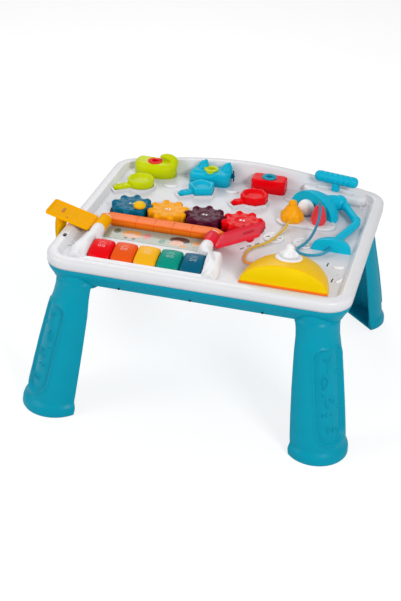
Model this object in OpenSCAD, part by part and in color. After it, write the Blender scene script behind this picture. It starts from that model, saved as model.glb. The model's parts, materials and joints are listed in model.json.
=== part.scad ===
// Musical activity table for a toddler: a white play tray on a blue-green casing with four splayed legs.
// Millimetres. X to the right, Y to the back, Z up; the ground is z = 0.

/* [Tray] */
// Width of the tray, left to right
table_w = 440; // [436:1:452]
// Depth of the tray, front to back
table_d = 377; // [374:1:392]
// Height of the rim above the ground
rim_z = 236; // [224:1:260]
// Radius of the tray's corners, seen from above
corner_r = 38; // [34:1:44]
// Width of the rim
rim_w = 15; // [13:0.5:16]
// Depth of the play field below the rim
field_drop = 8; // [7:0.5:9]
// Height of the tray's white side above the seam
tray_side = 15; // [14.5:0.5:16]
// Height of the casing below the seam
casing_h = 25; // [24:1:30]
// How far the casing draws in towards its bottom
casing_taper = 16; // [12:1:18]
// Rise of the arched back above the rim
arch_rise = 22; // [14:1:28]
// Thickness of the moulded walls
wall = 2.5; // [2.2:0.1:2.8]

/* [Legs] */
// Sideways distance of a foot's centre from the middle
foot_x = 193.5; // [190:0.5:205]
// Distance of a foot's centre from the middle, front to back
foot_y = 190; // [186:1:200]
// Radius of the foot ring
foot_r = 45; // [42:0.5:50]
// Radius of a leg where it enters the casing
neck_r = 27; // [25:0.5:28]
// Thickness of a leg's shell
leg_wall = 3; // [2.5:0.1:4]

/* [Gears] */
// Distance between neighbouring gear centres
gear_pitch = 57.6; // [56:0.2:58]
// Number of rounded teeth on each gear
gear_teeth = 8; // [8:2:8]
// Height of the gears above the play field
gear_rise = 14; // [12:0.5:16]
// Radius of the gears' axles
axle_r = 3; // [2.5:0.1:3.5]

/* [Piano keys] */
// Distance between neighbouring piano keys
key_pitch = 34; // [33:0.2:34]
// Gap between neighbouring piano keys
key_gap = 1; // [0.8:0.1:1.6]
// Height of the keys' backs above the play field
key_rise = 11.5; // [9:0.5:12]

/* [Flaps] */
// Height of the flap hinges above the play field
hinge_rise = 10; // [10:0.2:11]
// Half the distance between the two flap hinges
hinge_half = 82.5; // [82:0.5:84]
// Angle of the left flap above level when it is open
left_open = 15.5; // [14:0.5:20]
// Angle of the right flap above level when it is open
right_open = 26; // [22:0.5:32]
// Thickness of the flaps
flap_t = 3; // [2.5:0.1:3.5]

/* [Dome and lamp] */
// Height of the half dome above its strip
dome_h = 31.5; // [30:0.5:33]
// Radius of the lamp's shade
shade_r = 45; // [42:0.5:46]
// Height of the lamp's shade
shade_h = 30; // [28:0.5:34]
// Radius of the lamp's arm
arm_r = 6; // [5:0.5:7]

/* [Fits] */
// Gap between parts that move past each other
slack = 0.4; // [0.3:0.05:0.5]
// Radial gap of a shaft in its bearing
shaft_fit = 0.06; // [0.04:0.01:0.1]

/* [Hidden] */

$fn = 48;
hull_fn = 32;       // sides of the circles inside a hull
cord_sides = 8;     // sides of a cord's tube
eps = 0.01;         // overlap that keeps two fused solids from only touching

// Heights
field_z = rim_z - field_drop;
seam_z = rim_z - tray_side;
base_z = seam_z - casing_h;
under_z = field_z - wall;

// Edges of the tray, from the middle; places near an edge are counted from it
half_w = table_w / 2;
half_d = table_d / 2;

// Flap reach on the left sets the widest point there, so the origin is half way to the right foot.
// The left flap reaches past the rim, where its tab hangs, and the right flap covers what is left of the panel.
flap_gap = 0.3;
flap_over = 30.7;   // reach of the left flap past the tray's edge when it is closed
tab_clear = 0.5;    // gap between the tray's side and the left flap's tab
tab_w = 13;
lobe_in = 22.2;     // distance of a flap's underside lobe from its free end
flap_near = 12;
flap_low = 6.5;
flap_w = 44;
flap_y = -68;
bay_x = -86;
hinge_z = field_z + hinge_rise;
left_far = half_w + bay_x - hinge_half + flap_over;
right_far = 2 * (hinge_half - flap_gap) - left_far;
left_reach = hinge_half - bay_x + left_far * cos(left_open) + flap_low * sin(left_open);
table_x = (left_reach - foot_x - foot_r) / 2;

// Legs
neck = [half_w - 46, half_d - 31.5, base_z - 6];
leg_top = 26;
leg_profile = [[0, 39.5], [22, 39.5], [52, 38], [100, 35.5], [150, 31.5], [188, neck_r]];
collar_wall = 3;
seam_turn = 11;
lean = [neck[0] - foot_x, neck[1] - foot_y, neck[2]];
lean_len = norm(lean);
lean_tilt = acos(lean[2] / lean_len);
lean_dir = atan2(lean[1], lean[0]);
corners = [[-1, -1], [1, -1], [-1, 1], [1, 1]];

// Gears
gear_y = 9;
gear_mid_x = -59.8;
gear_r = gear_pitch / 2;
gear_shrink = 0.2;
lobe_share = 0.95;
gear_steps = 6;
gear_top = field_z + gear_rise;
well_z = field_z - 6;
well_r = gear_r * (1 + 1 / gear_teeth) + 1.4;
gear_x = [for (i = [0:3]) gear_mid_x + (i - 1.5) * gear_pitch];
crank_at = [gear_x[0] + 16, gear_y - 13];

// Piano keys
keys_x = -79.5;
key_front = -149.5;
key_back = -112;
key_count = 5;
rod_r = 1.5;
rod_at = [-105.5, under_z - 4];
key_low = field_z - 8;
plunger_y = -124;
board_from = [-151, -128];
plunger_z = key_low - 6;

// Locks and their keys
lock_h = 22;
ring_r = 10.5;
hole_r = 5.5;
key_dir = 220;
lock_y = half_d - 36.5;
lime_x = 67 - half_w;
lime_at = [lime_x - 7, lock_y - 54];
blue_at = [-62, lock_y - 45];
red_at = [24, lock_y - 51];
cradle_h = 4;
cradle_t = 2.5;
key_h = 14;
blade_h = 8.5;

// Cord posts, plugs and the slide
bar_at = [-86, -34];
socket_r = 6.4;
holder_h = 4;
plug_x = [half_w - 126.5, half_w - 85.5];
plug_y = 53.5;
track_at = [half_w - 78, half_d - 30.5];
track_turn = -10;
track_h = 7;
slot_half = 26;
slot_w = 8;
outlet_h = 1.2;
outlets = [[79, -9, -7], [half_w - 95.5, -12.5, -34]];

// Dome and lamp
dome_at = [half_w - 97, 34.5 - half_d];
dome_half = 62.5;
dome_deep = 84;
strip_h = 3;
plate_r = 19;
plate_y = 32;
plate_tilt = 9;
plate_t = 3;
plate_z = field_z + (strip_h + dome_h) * sqrt(1 - pow(plate_y / dome_deep, 2)) - 1;
lamp_at = [half_w - 53, -25];
lamp_base_r = 28;
lamp_base_h = 17;
shade_at = [half_w - 102, 85];
shade_turn = 147.2;
bulb_at = shade_at + [-10, 3];
bulb_r = 12;
arm_path = [[lamp_at[0], 6, field_z + arm_r + 1], [half_w - 30, 77, field_z + arm_r + 1],
    [shade_at[0] + 42, shade_at[1] + 29, field_z + 14]];

// Things inside
battery_at = [20, 60];
battery_size = [66, 60];
cell_r = 7.1;
cell_len = 50;
board_z = base_z + 9;
board_t = 1.6;
speaker_at = [50, -60];
speaker_r = 20;
post_x = half_w - 24;
post_y = half_d - 28.5;
case_posts = [[-post_x, 20], [post_x, 20], [-70, -post_y], [62, -post_y], [-60, post_y], [60, post_y]];
post_split = base_z + 16;
screw_r = 1.5;

amber_r = 1.9;
blue_r = 2.1;
amber_route = [
    [93.5, 44, field_z + 10], [93.5, 39, field_z + 10], [93.5, 34, field_z + 10], [92, 29, field_z + 8],
    [90.5, 23, field_z + 5], [88, 14, field_z + 3.5], [85, 2, field_z + 3.4], [82, -12, field_z + 3.5],
    [76, -27, field_z + 3.2], [67, -39, field_z + 2], [58, -49, field_z + 2], [53, -61, field_z + 2],
    [51.5, -75, field_z + 2], [53, -88, field_z + 2], [56, -98, field_z + 3], [62, -104.5, field_z + 5],
    [70, -108.5, field_z + 6], [78, -112.5, field_z + 6]
];
blue_route = [
    [134.5, 53.5, field_z + 28.5], [134.5, 53.5, field_z + 33], [134.5, 53, field_z + 37.5],
    [135, 49, field_z + 41], [136.5, 43, field_z + 39], [138.5, 34, field_z + 32],
    [139, 20, field_z + 24], [137, 4, field_z + 16], [133, -10, field_z + 9],
    [127, -22, field_z + 4.5], [121, -32, field_z + 2.6], [120.5, -40, field_z + 2.3],
    [126, -46.5, field_z + 2.3], [136, -49.5, field_z + 2.6], [147, -49, field_z + 3.5],
    [157, -45, field_z + 5], [163.5, -38, field_z + 6.6], [165, -31, field_z + 7], [165, -24, field_z + 7]
];

// ---- Shared shapes ----

module on_table() translate([table_x, 0, 0]) children();

// Rectangle with rounded corners, drawn about the middle.
module rounded_rect(w, d, r) {
    square([w - 2 * r, d], center = true);
    square([w, d - 2 * r], center = true);
    for (x = [-1, 1], y = [-1, 1])
        translate([x * (w / 2 - r), y * (d / 2 - r)]) circle(r);
}

// Upright slab of the tray's outline, drawn in by inset.
module slab(inset, z0, z1)
    translate([0, 0, z0]) linear_extrude(z1 - z0)
        rounded_rect(table_w - 2 * inset, table_d - 2 * inset, corner_r - min(inset, corner_r - 8));

// Room above the play field, a small gap in from the foot of the rim.
module inside_rim() slab(rim_w + 5.3, field_z - 1, field_z + 60);

// Shape that runs from one inset outline at each height to the next; levels are [inset, z].
module drawn_in(levels) hull() for (l = levels)
    translate([0, 0, l[1]]) linear_extrude(eps)
        rounded_rect(table_w - 2 * l[0], table_d - 2 * l[0], corner_r - min(l[0], corner_r - 8), $fn = hull_fn);

module stadium(len, w) {
    square([len - w, w], center = true);
    for (s = [-1, 1]) translate([s * (len - w) / 2, 0]) circle(w / 2);
}

// Cylinder lying along Y from y0 to y1, with its axis at x and z.
module along_y(x, z, y0, y1, r) translate([x, y1, z]) rotate([90, 0, 0]) cylinder(h = y1 - y0, r = r);
module along_x(y, z, x0, x1, r) translate([x0, y, z]) rotate([0, 90, 0]) cylinder(h = x1 - x0, r = r);

// Places children where a leg stands: the front left leg as it is, the others mirrored.
module at_corner(c) mirror([c[0] < 0 ? 1 : 0, 0, 0]) mirror([0, c[1] < 0 ? 1 : 0, 0]) children();

// Frame of the leaning axis of the rear right leg, from the foot's centre up.
module leaning() translate([foot_x, foot_y, 0]) rotate([0, lean_tilt, lean_dir]) children();

// Quarter ellipse, revolved half a turn: a half dome whose flat face is the XZ plane.
module half_dome(r, h, steps = 12)
    rotate_extrude(angle = 180) polygon(concat([[0, 0]], [for (i = [0:steps])
        [r * cos(90 * i / steps), h * sin(90 * i / steps)]]));

module half_dome_shell(r, h, t, steps = 12)
    rotate_extrude(angle = 180) polygon(concat(
        [for (i = [0:steps]) [r * cos(90 * i / steps), h * sin(90 * i / steps)]],
        [for (i = [steps:-1:0]) [(r - t) * cos(90 * i / steps), (h - t) * sin(90 * i / steps)]]));

// ---- Cords ----

function unit(v) = v / norm(v);
function heading(path, i) =
    unit(path[min(i + 1, len(path) - 1)] - path[max(i - 1, 0)]);
function side_of(v) = unit(cross(v, abs(v[2]) > 0.95 ? [1, 0, 0] : [0, 0, 1]));
function smooth(path, n) = [for (i = [0:len(path) - 2], k = [0:n - 1]) let (
        t = k / n, a = path[max(i - 1, 0)], b = path[i], c = path[i + 1],
        d = path[min(i + 2, len(path) - 1)])
    0.5 * (2 * b + (c - a) * t + (2 * a - 5 * b + 4 * c - d) * t * t + (3 * b - a - 3 * c + d) * t * t * t),
    path[len(path) - 1]];

module tube(route, r, n = 2) {
    path = smooth(route, n);
    rings = len(path);
    points = [for (i = [0:rings - 1]) let (h = heading(path, i), s = side_of(h), u = cross(s, h))
        for (k = [0:cord_sides - 1]) path[i] + r * (cos(360 * k / cord_sides) * s + sin(360 * k / cord_sides) * u)];
    sides = [for (i = [0:rings - 2], k = [0:cord_sides - 1]) let (m = (k + 1) % cord_sides)
        [i * cord_sides + k, i * cord_sides + m, (i + 1) * cord_sides + m, (i + 1) * cord_sides + k]];
    start = [[for (k = [cord_sides - 1:-1:0]) k]];
    finish = [[for (k = [0:cord_sides - 1]) (rings - 1) * cord_sides + k]];
    polyhedron(points, concat(sides, start, finish));
}

// ---- Casing ----

module gear_wells(r, z0, z1)
    for (x = gear_x) translate([x, gear_y, z0]) cylinder(h = z1 - z0, r = r);

// Segment of the arched back at depth y, with its top lowered by drop.
module arch_slice(y, drop, half) translate([0, y, 0]) rotate([90, 0, 0]) linear_extrude(eps)
    polygon(concat([[-half, rim_z - 4], [half, rim_z - 4]],
        [for (i = [0:16]) let (x = half * (1 - i / 8)) [x, rim_z - 1 - drop + (arch_rise + 1) * cos(90 * x / half)]]));

module arched_back() {
    back = table_d / 2;
    hull() {
        arch_slice(back - 1.5, 2, table_w / 2 - corner_r + 12);
        arch_slice(back - 4, 0, table_w / 2 - corner_r + 12);
        arch_slice(back - rim_w + 3, 0, table_w / 2 - corner_r + 10);
        arch_slice(back - rim_w, 3, table_w / 2 - corner_r + 8);
    }
}

module knuckle(s) {
    x = bay_x + s * hinge_half;
    for (y = [[-100, -80, 8.5], [flap_y + flap_w / 2 - 3.5, flap_y + flap_w / 2 + 1, 7]]) {
        along_y(x, hinge_z, y[0], y[1], y[2]);
        translate([x - y[2], y[0], field_z - eps]) cube([2 * y[2], y[1] - y[0], hinge_z - field_z]);
    }
}

// Rounded white ramp that runs forward from a knuckle to the front of the piano keys.
module bolster(s) {
    x = bay_x + s * hinge_half;
    front_x = s < 0 ? -177.5 : 18.5;
    hull() {
        along_y(x, hinge_z, -100, -92, 8);
        translate([front_x, -146, field_z - eps]) cylinder(h = 2, r = s < 0 ? 9 : 10.5, $fn = hull_fn);
        translate([front_x, -138, field_z - eps]) cylinder(h = 9, r = s < 0 ? 7 : 9, $fn = hull_fn);
        translate([x, -100, field_z - eps]) cylinder(h = 2, r = 9, $fn = hull_fn);
    }
}

// Outline of a key seen from above: a bow with the given number of sides and a straight blade.
module key_outline(sides, r, blade, half, grow) rotate(key_dir) {
    rotate(180 / sides) circle((r + grow) / cos(180 / sides), $fn = sides);
    translate([0, -half - grow]) square([blade + grow, 2 * (half + grow)]);
}

module lime_outline(grow) translate(lime_at) key_outline(64, 21, 46, 6.5, grow);
module blue_outline(grow) translate(blue_at) key_outline(5, 18, 40, 6, grow);
module red_outline(grow) translate(red_at) key_outline(8, 20.5, 39, 6.5, grow);

module cradles(grow, z0, z1) translate([0, 0, z0]) linear_extrude(z1 - z0) {
    lime_outline(grow);
    blue_outline(grow);
    red_outline(grow);
}

module track(z0, z1, w, len) translate([track_at[0], track_at[1], z0]) rotate(track_turn)
    linear_extrude(z1 - z0) stadium(len, w);

// Raised arc in the play field: centre, radius, start and sweep.
module swoosh(at, r, from, sweep, w = 2.4) translate([at[0], at[1], field_z - eps]) rotate(from)
    rotate_extrude(angle = sweep) translate([r - w / 2, 0]) square([w, 1.2]);

module reliefs() {
    swoosh([lime_x + 35, lock_y - 24], 17, -120, 80);
    swoosh([-18, lock_y - 12], 17, -130, 80);
    swoosh([78, lock_y - 12], 15, -130, 90);
    swoosh([half_w - 36, -62], 10, -120, 100);
    swoosh([half_w - 34, -104], 10, -70, 100);
    for (p = [[half_w - 34, 138], [half_w - 28, 132], [27 - half_w, -118], [23 - half_w, -126]])
        translate([p[0], p[1], field_z - eps]) cylinder(h = 1.5, r = 2.2);
}

module floor_slits() {
    for (p = [[42, -56, 10], [50, -45, 10], [60, -35, 8]])
        translate([p[0], p[1], under_z]) rotate(-8) cube([p[2], 1.6, 3 * wall], center = true);
    for (p = [[half_w - 50, -64], [half_w - 36, -108]])
        translate([p[0], p[1], under_z]) cube([1.6, 12, 3 * wall], center = true);
    for (p = [[69.5, -39], [half_w - 32, -90]])
        translate([p[0], p[1], under_z - eps]) cylinder(h = 2 * wall, r = 1.4);
}

module case_post_tops() for (p = case_posts)
    translate([p[0], p[1], post_split]) cylinder(h = under_z - post_split + eps, r = 4.5);

switch_at = [11.5 - half_w, -116];

module top_tray() color("whitesmoke") on_table() difference() {
    union() {
        difference() {
            union() {
                drawn_in([[0, seam_z], [1, rim_z - 3], [4, rim_z]]);
                arched_back();
            }
            drawn_in([[rim_w + 5, field_z], [rim_w, rim_z], [rim_w - 2, rim_z + arch_rise + 9]]);
            slab(wall, seam_z - 1, under_z);
            difference() {
                slab(wall + 1.5, under_z - 1, rim_z - 4);
                slab(rim_w - 3, under_z - 2, rim_z);
            }
        }
        for (s = [-1, 1]) {
            knuckle(s);
            bolster(s);
        }
        gear_wells(well_r + wall, well_z - wall, field_z - eps);
        cradles(cradle_t + slack, field_z - eps, field_z + cradle_h);
        for (o = outlets) translate([o[0], o[1], field_z - eps]) cylinder(h = outlet_h, r = 15);
        reliefs();
        case_post_tops();
        for (x = [keys_x - key_count * key_pitch / 2 - 3.5, keys_x + key_count * key_pitch / 2 + 3.5])
            translate([x, rod_at[0], rod_at[1] + 1]) cube([3, 8, 10], center = true);
    }
    gear_wells(well_r, well_z, rim_z);
    gear_wells(axle_r, well_z - 2 * wall, rim_z);
    cradles(slack, field_z, rim_z);
    translate([keys_x, (key_front + key_back) / 2, seam_z]) cube([key_count * key_pitch + slack,
        key_back - key_front + 3 * slack, 4 * tray_side], center = true);
    translate([bay_x, -67, field_z - 1.2]) linear_extrude(rim_z) rounded_rect(151, 39, 4);
    track(seam_z, rim_z + 20, slot_w, 2 * slot_half + slot_w);
    for (x = plug_x) translate([x, plug_y, seam_z]) cylinder(h = 20, r = socket_r);
    for (o = outlets) translate([o[0], o[1], seam_z]) rotate(o[2]) for (s = [-1, 1])
        translate([s * 8.7, 0, 0]) cylinder(h = 20, r = 3.4);
    floor_slits();
    for (s = [-1, 1]) {
        x = bay_x + s * hinge_half;
        along_y(x, hinge_z, -97, flap_y + flap_w / 2 + 2, 2);
    }
    for (p = case_posts) translate([p[0], p[1], post_split - 1]) cylinder(h = 7, r = screw_r);
    along_x(rod_at[0], rod_at[1], keys_x - 120, keys_x + 120, rod_r);
    translate([switch_at[0], switch_at[1], rim_z]) cube([6, 36, 7], center = true);
    translate([switch_at[0], switch_at[1], rim_z]) cube([3, 24, 20], center = true);
}

// Leaning cylinder about a leg's axis. The turn keeps its seam line clear of the casing's corner.
module collar(c, r, h0, h1) at_corner(c) leaning() translate([0, 0, h0]) rotate(seam_turn) cylinder(h = h1 - h0, r = r);

module base_shell() color("#0098b4") on_table() difference() {
    top = lean_len + leg_top;
    union() {
        difference() {
            drawn_in([[1, seam_z - eps], [casing_taper - 5, base_z + 5], [casing_taper, base_z]]);
            drawn_in([[1 + wall, seam_z + 1], [casing_taper - 3, base_z + 7], [casing_taper + wall, base_z + wall]]);
        }
        for (c = corners) collar(c, neck_r + slack + collar_wall, lean_len - 1, top + wall);
        for (p = case_posts) translate([p[0], p[1], base_z]) cylinder(h = post_split - base_z, r = 4.5);
        translate([battery_at[0], battery_at[1], base_z + 10])
            cube([battery_size[0] + 4, battery_size[1] + 4, 20], center = true);
        translate([battery_at[0], battery_at[1], base_z + wall])
            cube([battery_size[0] + 21, battery_size[1] + 27, 2 * wall], center = true);
        translate([battery_at[0], battery_at[1] - battery_size[1] / 2 - 9, base_z + 1]) cylinder(h = 9, r = 3.6);
        for (x = [-138, -20], y = [-118, -70])
            translate([x, y, base_z]) cylinder(h = board_z - base_z, r = 3.5);
        translate([speaker_at[0], speaker_at[1], base_z]) cylinder(h = 6, r = speaker_r + 2.5);
    }
    for (c = corners) {
        collar(c, neck_r + slack, -20, top);
        collar(c, screw_r, 0, top + 10);
    }
    for (p = case_posts) {
        translate([p[0], p[1], base_z - 1]) cylinder(h = 30, r = screw_r + 0.1);
        translate([p[0], p[1], base_z - 1]) cylinder(h = 4, r = 3.2);
    }
    translate([battery_at[0], battery_at[1], base_z + 8])
        cube([battery_size[0], battery_size[1], 20], center = true);
    translate([battery_at[0], battery_at[1], base_z])
        cube([battery_size[0] + 10, battery_size[1] + 10, 5], center = true);
    translate([battery_at[0], battery_at[1] - battery_size[1] / 2 - 14, base_z - 1]) {
        translate([-6, 0, 0]) cube([12, 12, 2.5]);
        translate([0, 5, 0]) cylinder(h = 12, r = screw_r);
    }
    translate([speaker_at[0], speaker_at[1], base_z + wall]) cylinder(h = 20, r = speaker_r);
    translate([speaker_at[0], speaker_at[1], base_z - 1]) for (i = [0:5])
        rotate(60 * i) translate([10, 0, 0]) cylinder(h = 9, r = 2);
    translate([speaker_at[0], speaker_at[1], base_z - 1]) cylinder(h = 9, r = 2.5);
}

// ---- Legs ----

function leg_r(z) = lookup(z, leg_profile);

// Half-round shell, open towards the middle of the table, on a flared half ring.
module leg(c) on_table() at_corner(c) difference() {
    top = lean_len + leg_top;
    cut_turn = 225 - lean_dir;
    levels = [-12, 22, 52, 100, 150, lean_len - 2, top];
    union() {
        leaning() difference() {
            rotate_extrude() polygon(concat([for (z = levels) [leg_r(z), z]], [[0, top], [0, top - leg_wall]],
                [for (i = [len(levels) - 1:-1:0]) let (z = min(levels[i], top - leg_wall)) [leg_r(z) - leg_wall, z]]));
            rotate(cut_turn) translate([0, -60, -30]) cube([120, 120, top + 60]);
            leg_panel();
            translate([0, 0, top - 10]) cylinder(h = 20, r = screw_r + 0.1);
        }
        translate([foot_x, foot_y, 0]) difference() {
            rotate_extrude() polygon([[36, 0], [foot_r, 0], [foot_r, 12], [foot_r - 2, 17], [39.4, 20], [36, 20]]);
            rotate(225) translate([0, -60, -1]) cube([120, 120, 60]);
        }
    }
    translate([foot_x, foot_y, -50]) cube([300, 300, 100], center = true);
}

// Shallow panel with round ends, sunk in the outside of the leg.
module leg_panel() intersection() {
    rotate_extrude() polygon([[60, 34], [leg_r(34) - 1, 34], [leg_r(52) - 1, 52], [leg_r(100) - 1, 100],
        [leg_r(150) - 1, 150], [leg_r(172) - 1, 172], [60, 172]]);
    rotate(225 - lean_dir + 180) translate([10, 0, 103]) rotate([0, 90, 0]) linear_extrude(60) stadium(134, 44);
}

module front_left_leg() color("#0098b4") leg([-1, -1]);
module front_right_leg() color("#0098b4") leg([1, -1]);
module rear_left_leg() color("#0098b4") leg([-1, 1]);
module rear_right_leg() color("#0098b4") leg([1, 1]);

// Screw with a round head below and its shank up.
module screw(len, r = screw_r) {
    cylinder(h = 2, r = 3);
    cylinder(h = len, r = r);
}

module leg_screws() color("silver") on_table() for (c = corners) at_corner(c) leaning()
    translate([0, 0, lean_len + leg_top - leg_wall - 2]) screw(7.5);

// ---- Locks and keys ----

module lock_slice(at, r, z, h) translate([at[0], at[1], z]) cylinder(h = h, r = r, $fn = hull_fn);

module ring_hole(at, top) translate([at[0], at[1], top - 12]) {
    cylinder(h = 30, r = ring_r);
    translate([0, 0, 12]) cylinder(h = 30, r = ring_r + 1);
}

// Lock whose children stand about x and lock_y, kept clear of the tray's back wall.
module by_the_wall(x) intersection() {
    inside_rim();
    translate([x, lock_y, 0]) union() children();
}

lime_ring = [lime_x, lock_y];
blue_ring = [-59, lock_y];
red_ring = [36, lock_y + 1];
red_half = [20.5, 8.25];    // half distances between the red lock's corner rounds
red_mid = [36.5, lock_y + 1.75];

module lime_lock() color("#cdda00") on_table() difference() {
    by_the_wall(lime_x) {
        hull() {
            lock_slice([-12, 2], 20.5, field_z, lock_h - 5);
            lock_slice([16, -1], 18, field_z, lock_h - 5);
            lock_slice([-11, 2], 17, field_z, lock_h);
            lock_slice([14, 0], 14, field_z, lock_h);
        }
        hull() {
            lock_slice([26, 6], 8, field_z, lock_h - 2);
            lock_slice([20, 14], 5, field_z, lock_h + 4);
        }
        hull() {
            lock_slice([20, 14], 5, field_z, lock_h + 4);
            lock_slice([10, 15], 3.5, field_z, lock_h + 6);
        }
    }
    translate([lime_x, lock_y, 0]) hull() {
        lock_slice([-12, 2], 18, field_z - 1, lock_h - 11.5);
        lock_slice([16, -1], 15.5, field_z - 1, lock_h - 11.5);
    }
    ring_hole(lime_ring, field_z + lock_h);
}

module blue_lock() color("#1ea8cc") on_table() difference() {
    by_the_wall(blue_ring[0]) {
        hull() {
            lock_slice([-15, -1], 15, field_z, lock_h - 6);
            lock_slice([17, -1], 16, field_z, lock_h - 6);
            lock_slice([-11, 0], 11, field_z, lock_h);
            lock_slice([12, 0], 13, field_z, lock_h);
        }
        hull() {
            lock_slice([-17, 4], 8, field_z, lock_h - 2);
            lock_slice([-17, 14], 4.5, field_z, lock_h + 10);
        }
        hull() {
            lock_slice([23, 4], 8, field_z, lock_h - 2);
            lock_slice([22, 14], 4.5, field_z, lock_h + 9);
        }
    }
    translate([blue_ring[0], lock_y, 0]) hull() {
        lock_slice([-15, -1], 12.5, field_z - 1, lock_h - 11.5);
        lock_slice([17, -1], 13.5, field_z - 1, lock_h - 11.5);
    }
    ring_hole(blue_ring, field_z + lock_h);
    on_propeller() cylinder(h = 30, r = 2);
}

module on_propeller() translate([blue_ring[0] + 26, lock_y + 5, field_z + 12]) rotate([0, 90, 20]) children();

module propeller() color("#006a86") on_table() on_propeller() {
    cylinder(h = 12, r = 2);
    translate([0, 0, 9]) cylinder(h = 3.5, r = 4.5);
    for (a = [0, 90]) rotate(a) translate([-1.5, -8, 9.5]) cube([3, 16, 2.2]);
}

module red_lock() color("#ee1020") on_table() difference() {
    by_the_wall(red_mid[0]) hull() for (i = [-1, 1], j = [-1, 1]) {
        lock_slice([i * red_half[0], red_mid[1] - lock_y + j * red_half[1]], 7, field_z, lock_h - 6);
        lock_slice([i * (red_half[0] - 3), red_mid[1] - lock_y + j * (red_half[1] - 3)], 4.5, field_z, lock_h);
    }
    translate([red_mid[0], red_ring[1], field_z]) cube([48, 28, 2 * (lock_h - 12)], center = true);
    ring_hole(red_ring, field_z + lock_h);
}

// Bush with a keyhole: a round hole and a slot for the key's bit.
module keyhole(at) translate([at[0], at[1], field_z + lock_h - 12]) difference() {
    union() {
        cylinder(h = 12, r = ring_r);
        translate([0, 0, 12 - eps]) cylinder(h = 1.6, r = ring_r + 0.95);
    }
    translate([0, 0, -1]) cylinder(h = 20, r = hole_r);
    translate([0, -2, -1]) cube([8.5, 4, 20]);
}

module lime_keyhole() color("#e01828") on_table() keyhole(lime_ring);
module blue_keyhole() color("#c8da10") on_table() keyhole(blue_ring);
module red_keyhole() color("#0090b0") on_table() keyhole(red_ring);

// Chunky key that lies in its cradle: a tall bow with a sunk top and a lower blade.
module chunky_key(at, sides, r, blade, half) translate([at[0], at[1], field_z + slack]) difference() {
    union() {
        rotate(key_dir) linear_extrude(blade_h) translate([0, -half]) square([blade, 2 * half]);
        rotate(key_dir + 180 / sides) {
            linear_extrude(key_h - 2) circle(r / cos(180 / sides), $fn = sides);
            translate([0, 0, key_h - 2 - eps]) linear_extrude(2) circle((r - 2) / cos(180 / sides), $fn = sides);
        }
    }
    rotate(key_dir + 180 / sides) translate([0, 0, key_h - 4])
        linear_extrude(10) circle((r - 7) / cos(180 / sides), $fn = sides);
}

module lime_key() color("#cdda00") on_table() chunky_key(lime_at, 64, 21, 46, 6.5);
module blue_key() color("#1ea8cc") on_table() chunky_key(blue_at, 5, 18, 40, 6);
module red_key() color("#ee1020") on_table() chunky_key(red_at, 8, 20.5, 39, 6.5);

// ---- Gears ----

// One arch of the tooth outline rolled on the pitch circle: outward for a lobe, inward for a valley.
function rolled(r, out, a) = let (q = r / (2 * gear_teeth), s = out ? 1 : -1, k = r + s * q)
    [k * cos(a) - s * q * cos(k / q * a), k * sin(a) - q * sin(k / q * a)];
function spread(p, share) = let (a = atan2(p[1], p[0]) * share) norm(p) * [cos(a), sin(a)];
function turned(p, a) = [p[0] * cos(a) - p[1] * sin(a), p[0] * sin(a) + p[1] * cos(a)];
function gear_points(r) = let (half = 180 / gear_teeth) [for (t = [0:gear_teeth - 1], side = [0, 1],
        i = [0:gear_steps - 1]) let (
        share = side == 0 ? lobe_share : 2 - lobe_share,
        start = 2 * half * t + (side == 0 ? -half * lobe_share / 2 : half * lobe_share / 2))
    turned(spread(rolled(r, side == 0, half * i / gear_steps), share), start)];

module gear(i) on_table() translate([gear_x[i], gear_y, 0]) rotate(i % 2 * 180 / gear_teeth) difference() {
    low = well_z + 1;
    union() {
        translate([0, 0, low]) linear_extrude(gear_top - 2 - low) polygon(gear_points(gear_r - gear_shrink));
        translate([0, 0, gear_top - 2 - eps]) linear_extrude(2) polygon(gear_points(gear_r - gear_shrink - 1.6));
    }
    translate([0, 0, low - 1]) difference() {
        cylinder(h = gear_top - 3.5 - low, r = gear_r - 8);
        cylinder(h = gear_top, r = axle_r + 4);
    }
    translate([0, 0, low - 1]) cylinder(h = gear_top - 3.6 - low, r = axle_r + shaft_fit);
    translate([0, 0, gear_top - 1.2]) cylinder(h = 5, r = 9);
    for (t = [0:gear_teeth - 1]) rotate(360 * t / gear_teeth) translate([gear_r - 5, 0, gear_top - 1])
        cylinder(h = 5, r = 2.6);
    if (i == 0) translate([crank_at[0] - gear_x[0], crank_at[1] - gear_y, gear_top - 3]) cylinder(h = 9, r = 3);
}

module teal_gear() color("#007896") gear(0);
module amber_gear() color("#ffaa14") gear(1);
module maroon_gear() color("#5a1937") gear(2);
module red_gear() color("#f00a28") gear(3);

module gear_axles() color("silver") on_table() for (x = gear_x) translate([x, gear_y, 0]) {
    translate([0, 0, well_z - wall - 2]) cylinder(h = 2, r = 6);
    translate([0, 0, well_z - wall - 2]) cylinder(h = gear_top - 5 - well_z + wall + 2, r = axle_r);
}

module crank_knob() color("#ffc800") on_table() translate([crank_at[0], crank_at[1], gear_top - 3]) {
    cylinder(h = 6, r = 3);
    translate([0, 0, 3]) rotate_extrude() polygon(concat([[0, 0], [7, 0]],
        [for (i = [0:6]) [9.5 * cos(90 * i / 6), 2 + 7 * sin(90 * i / 6)]]));
}

// ---- Light bar and picture ----

module bar_outline(half, tip, deep) polygon([[-tip, 0], [-half, -deep], [half, -deep],
    [tip, 0], [half, deep], [-half, deep]]);

module light_bar_frame() color("#ff8214") on_table() translate([bar_at[0], bar_at[1], field_z]) difference() {
    linear_extrude(6) bar_outline(81, 97, 9);
    translate([0, 0, 3]) cube([156, 10, 12], center = true);
}

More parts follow.
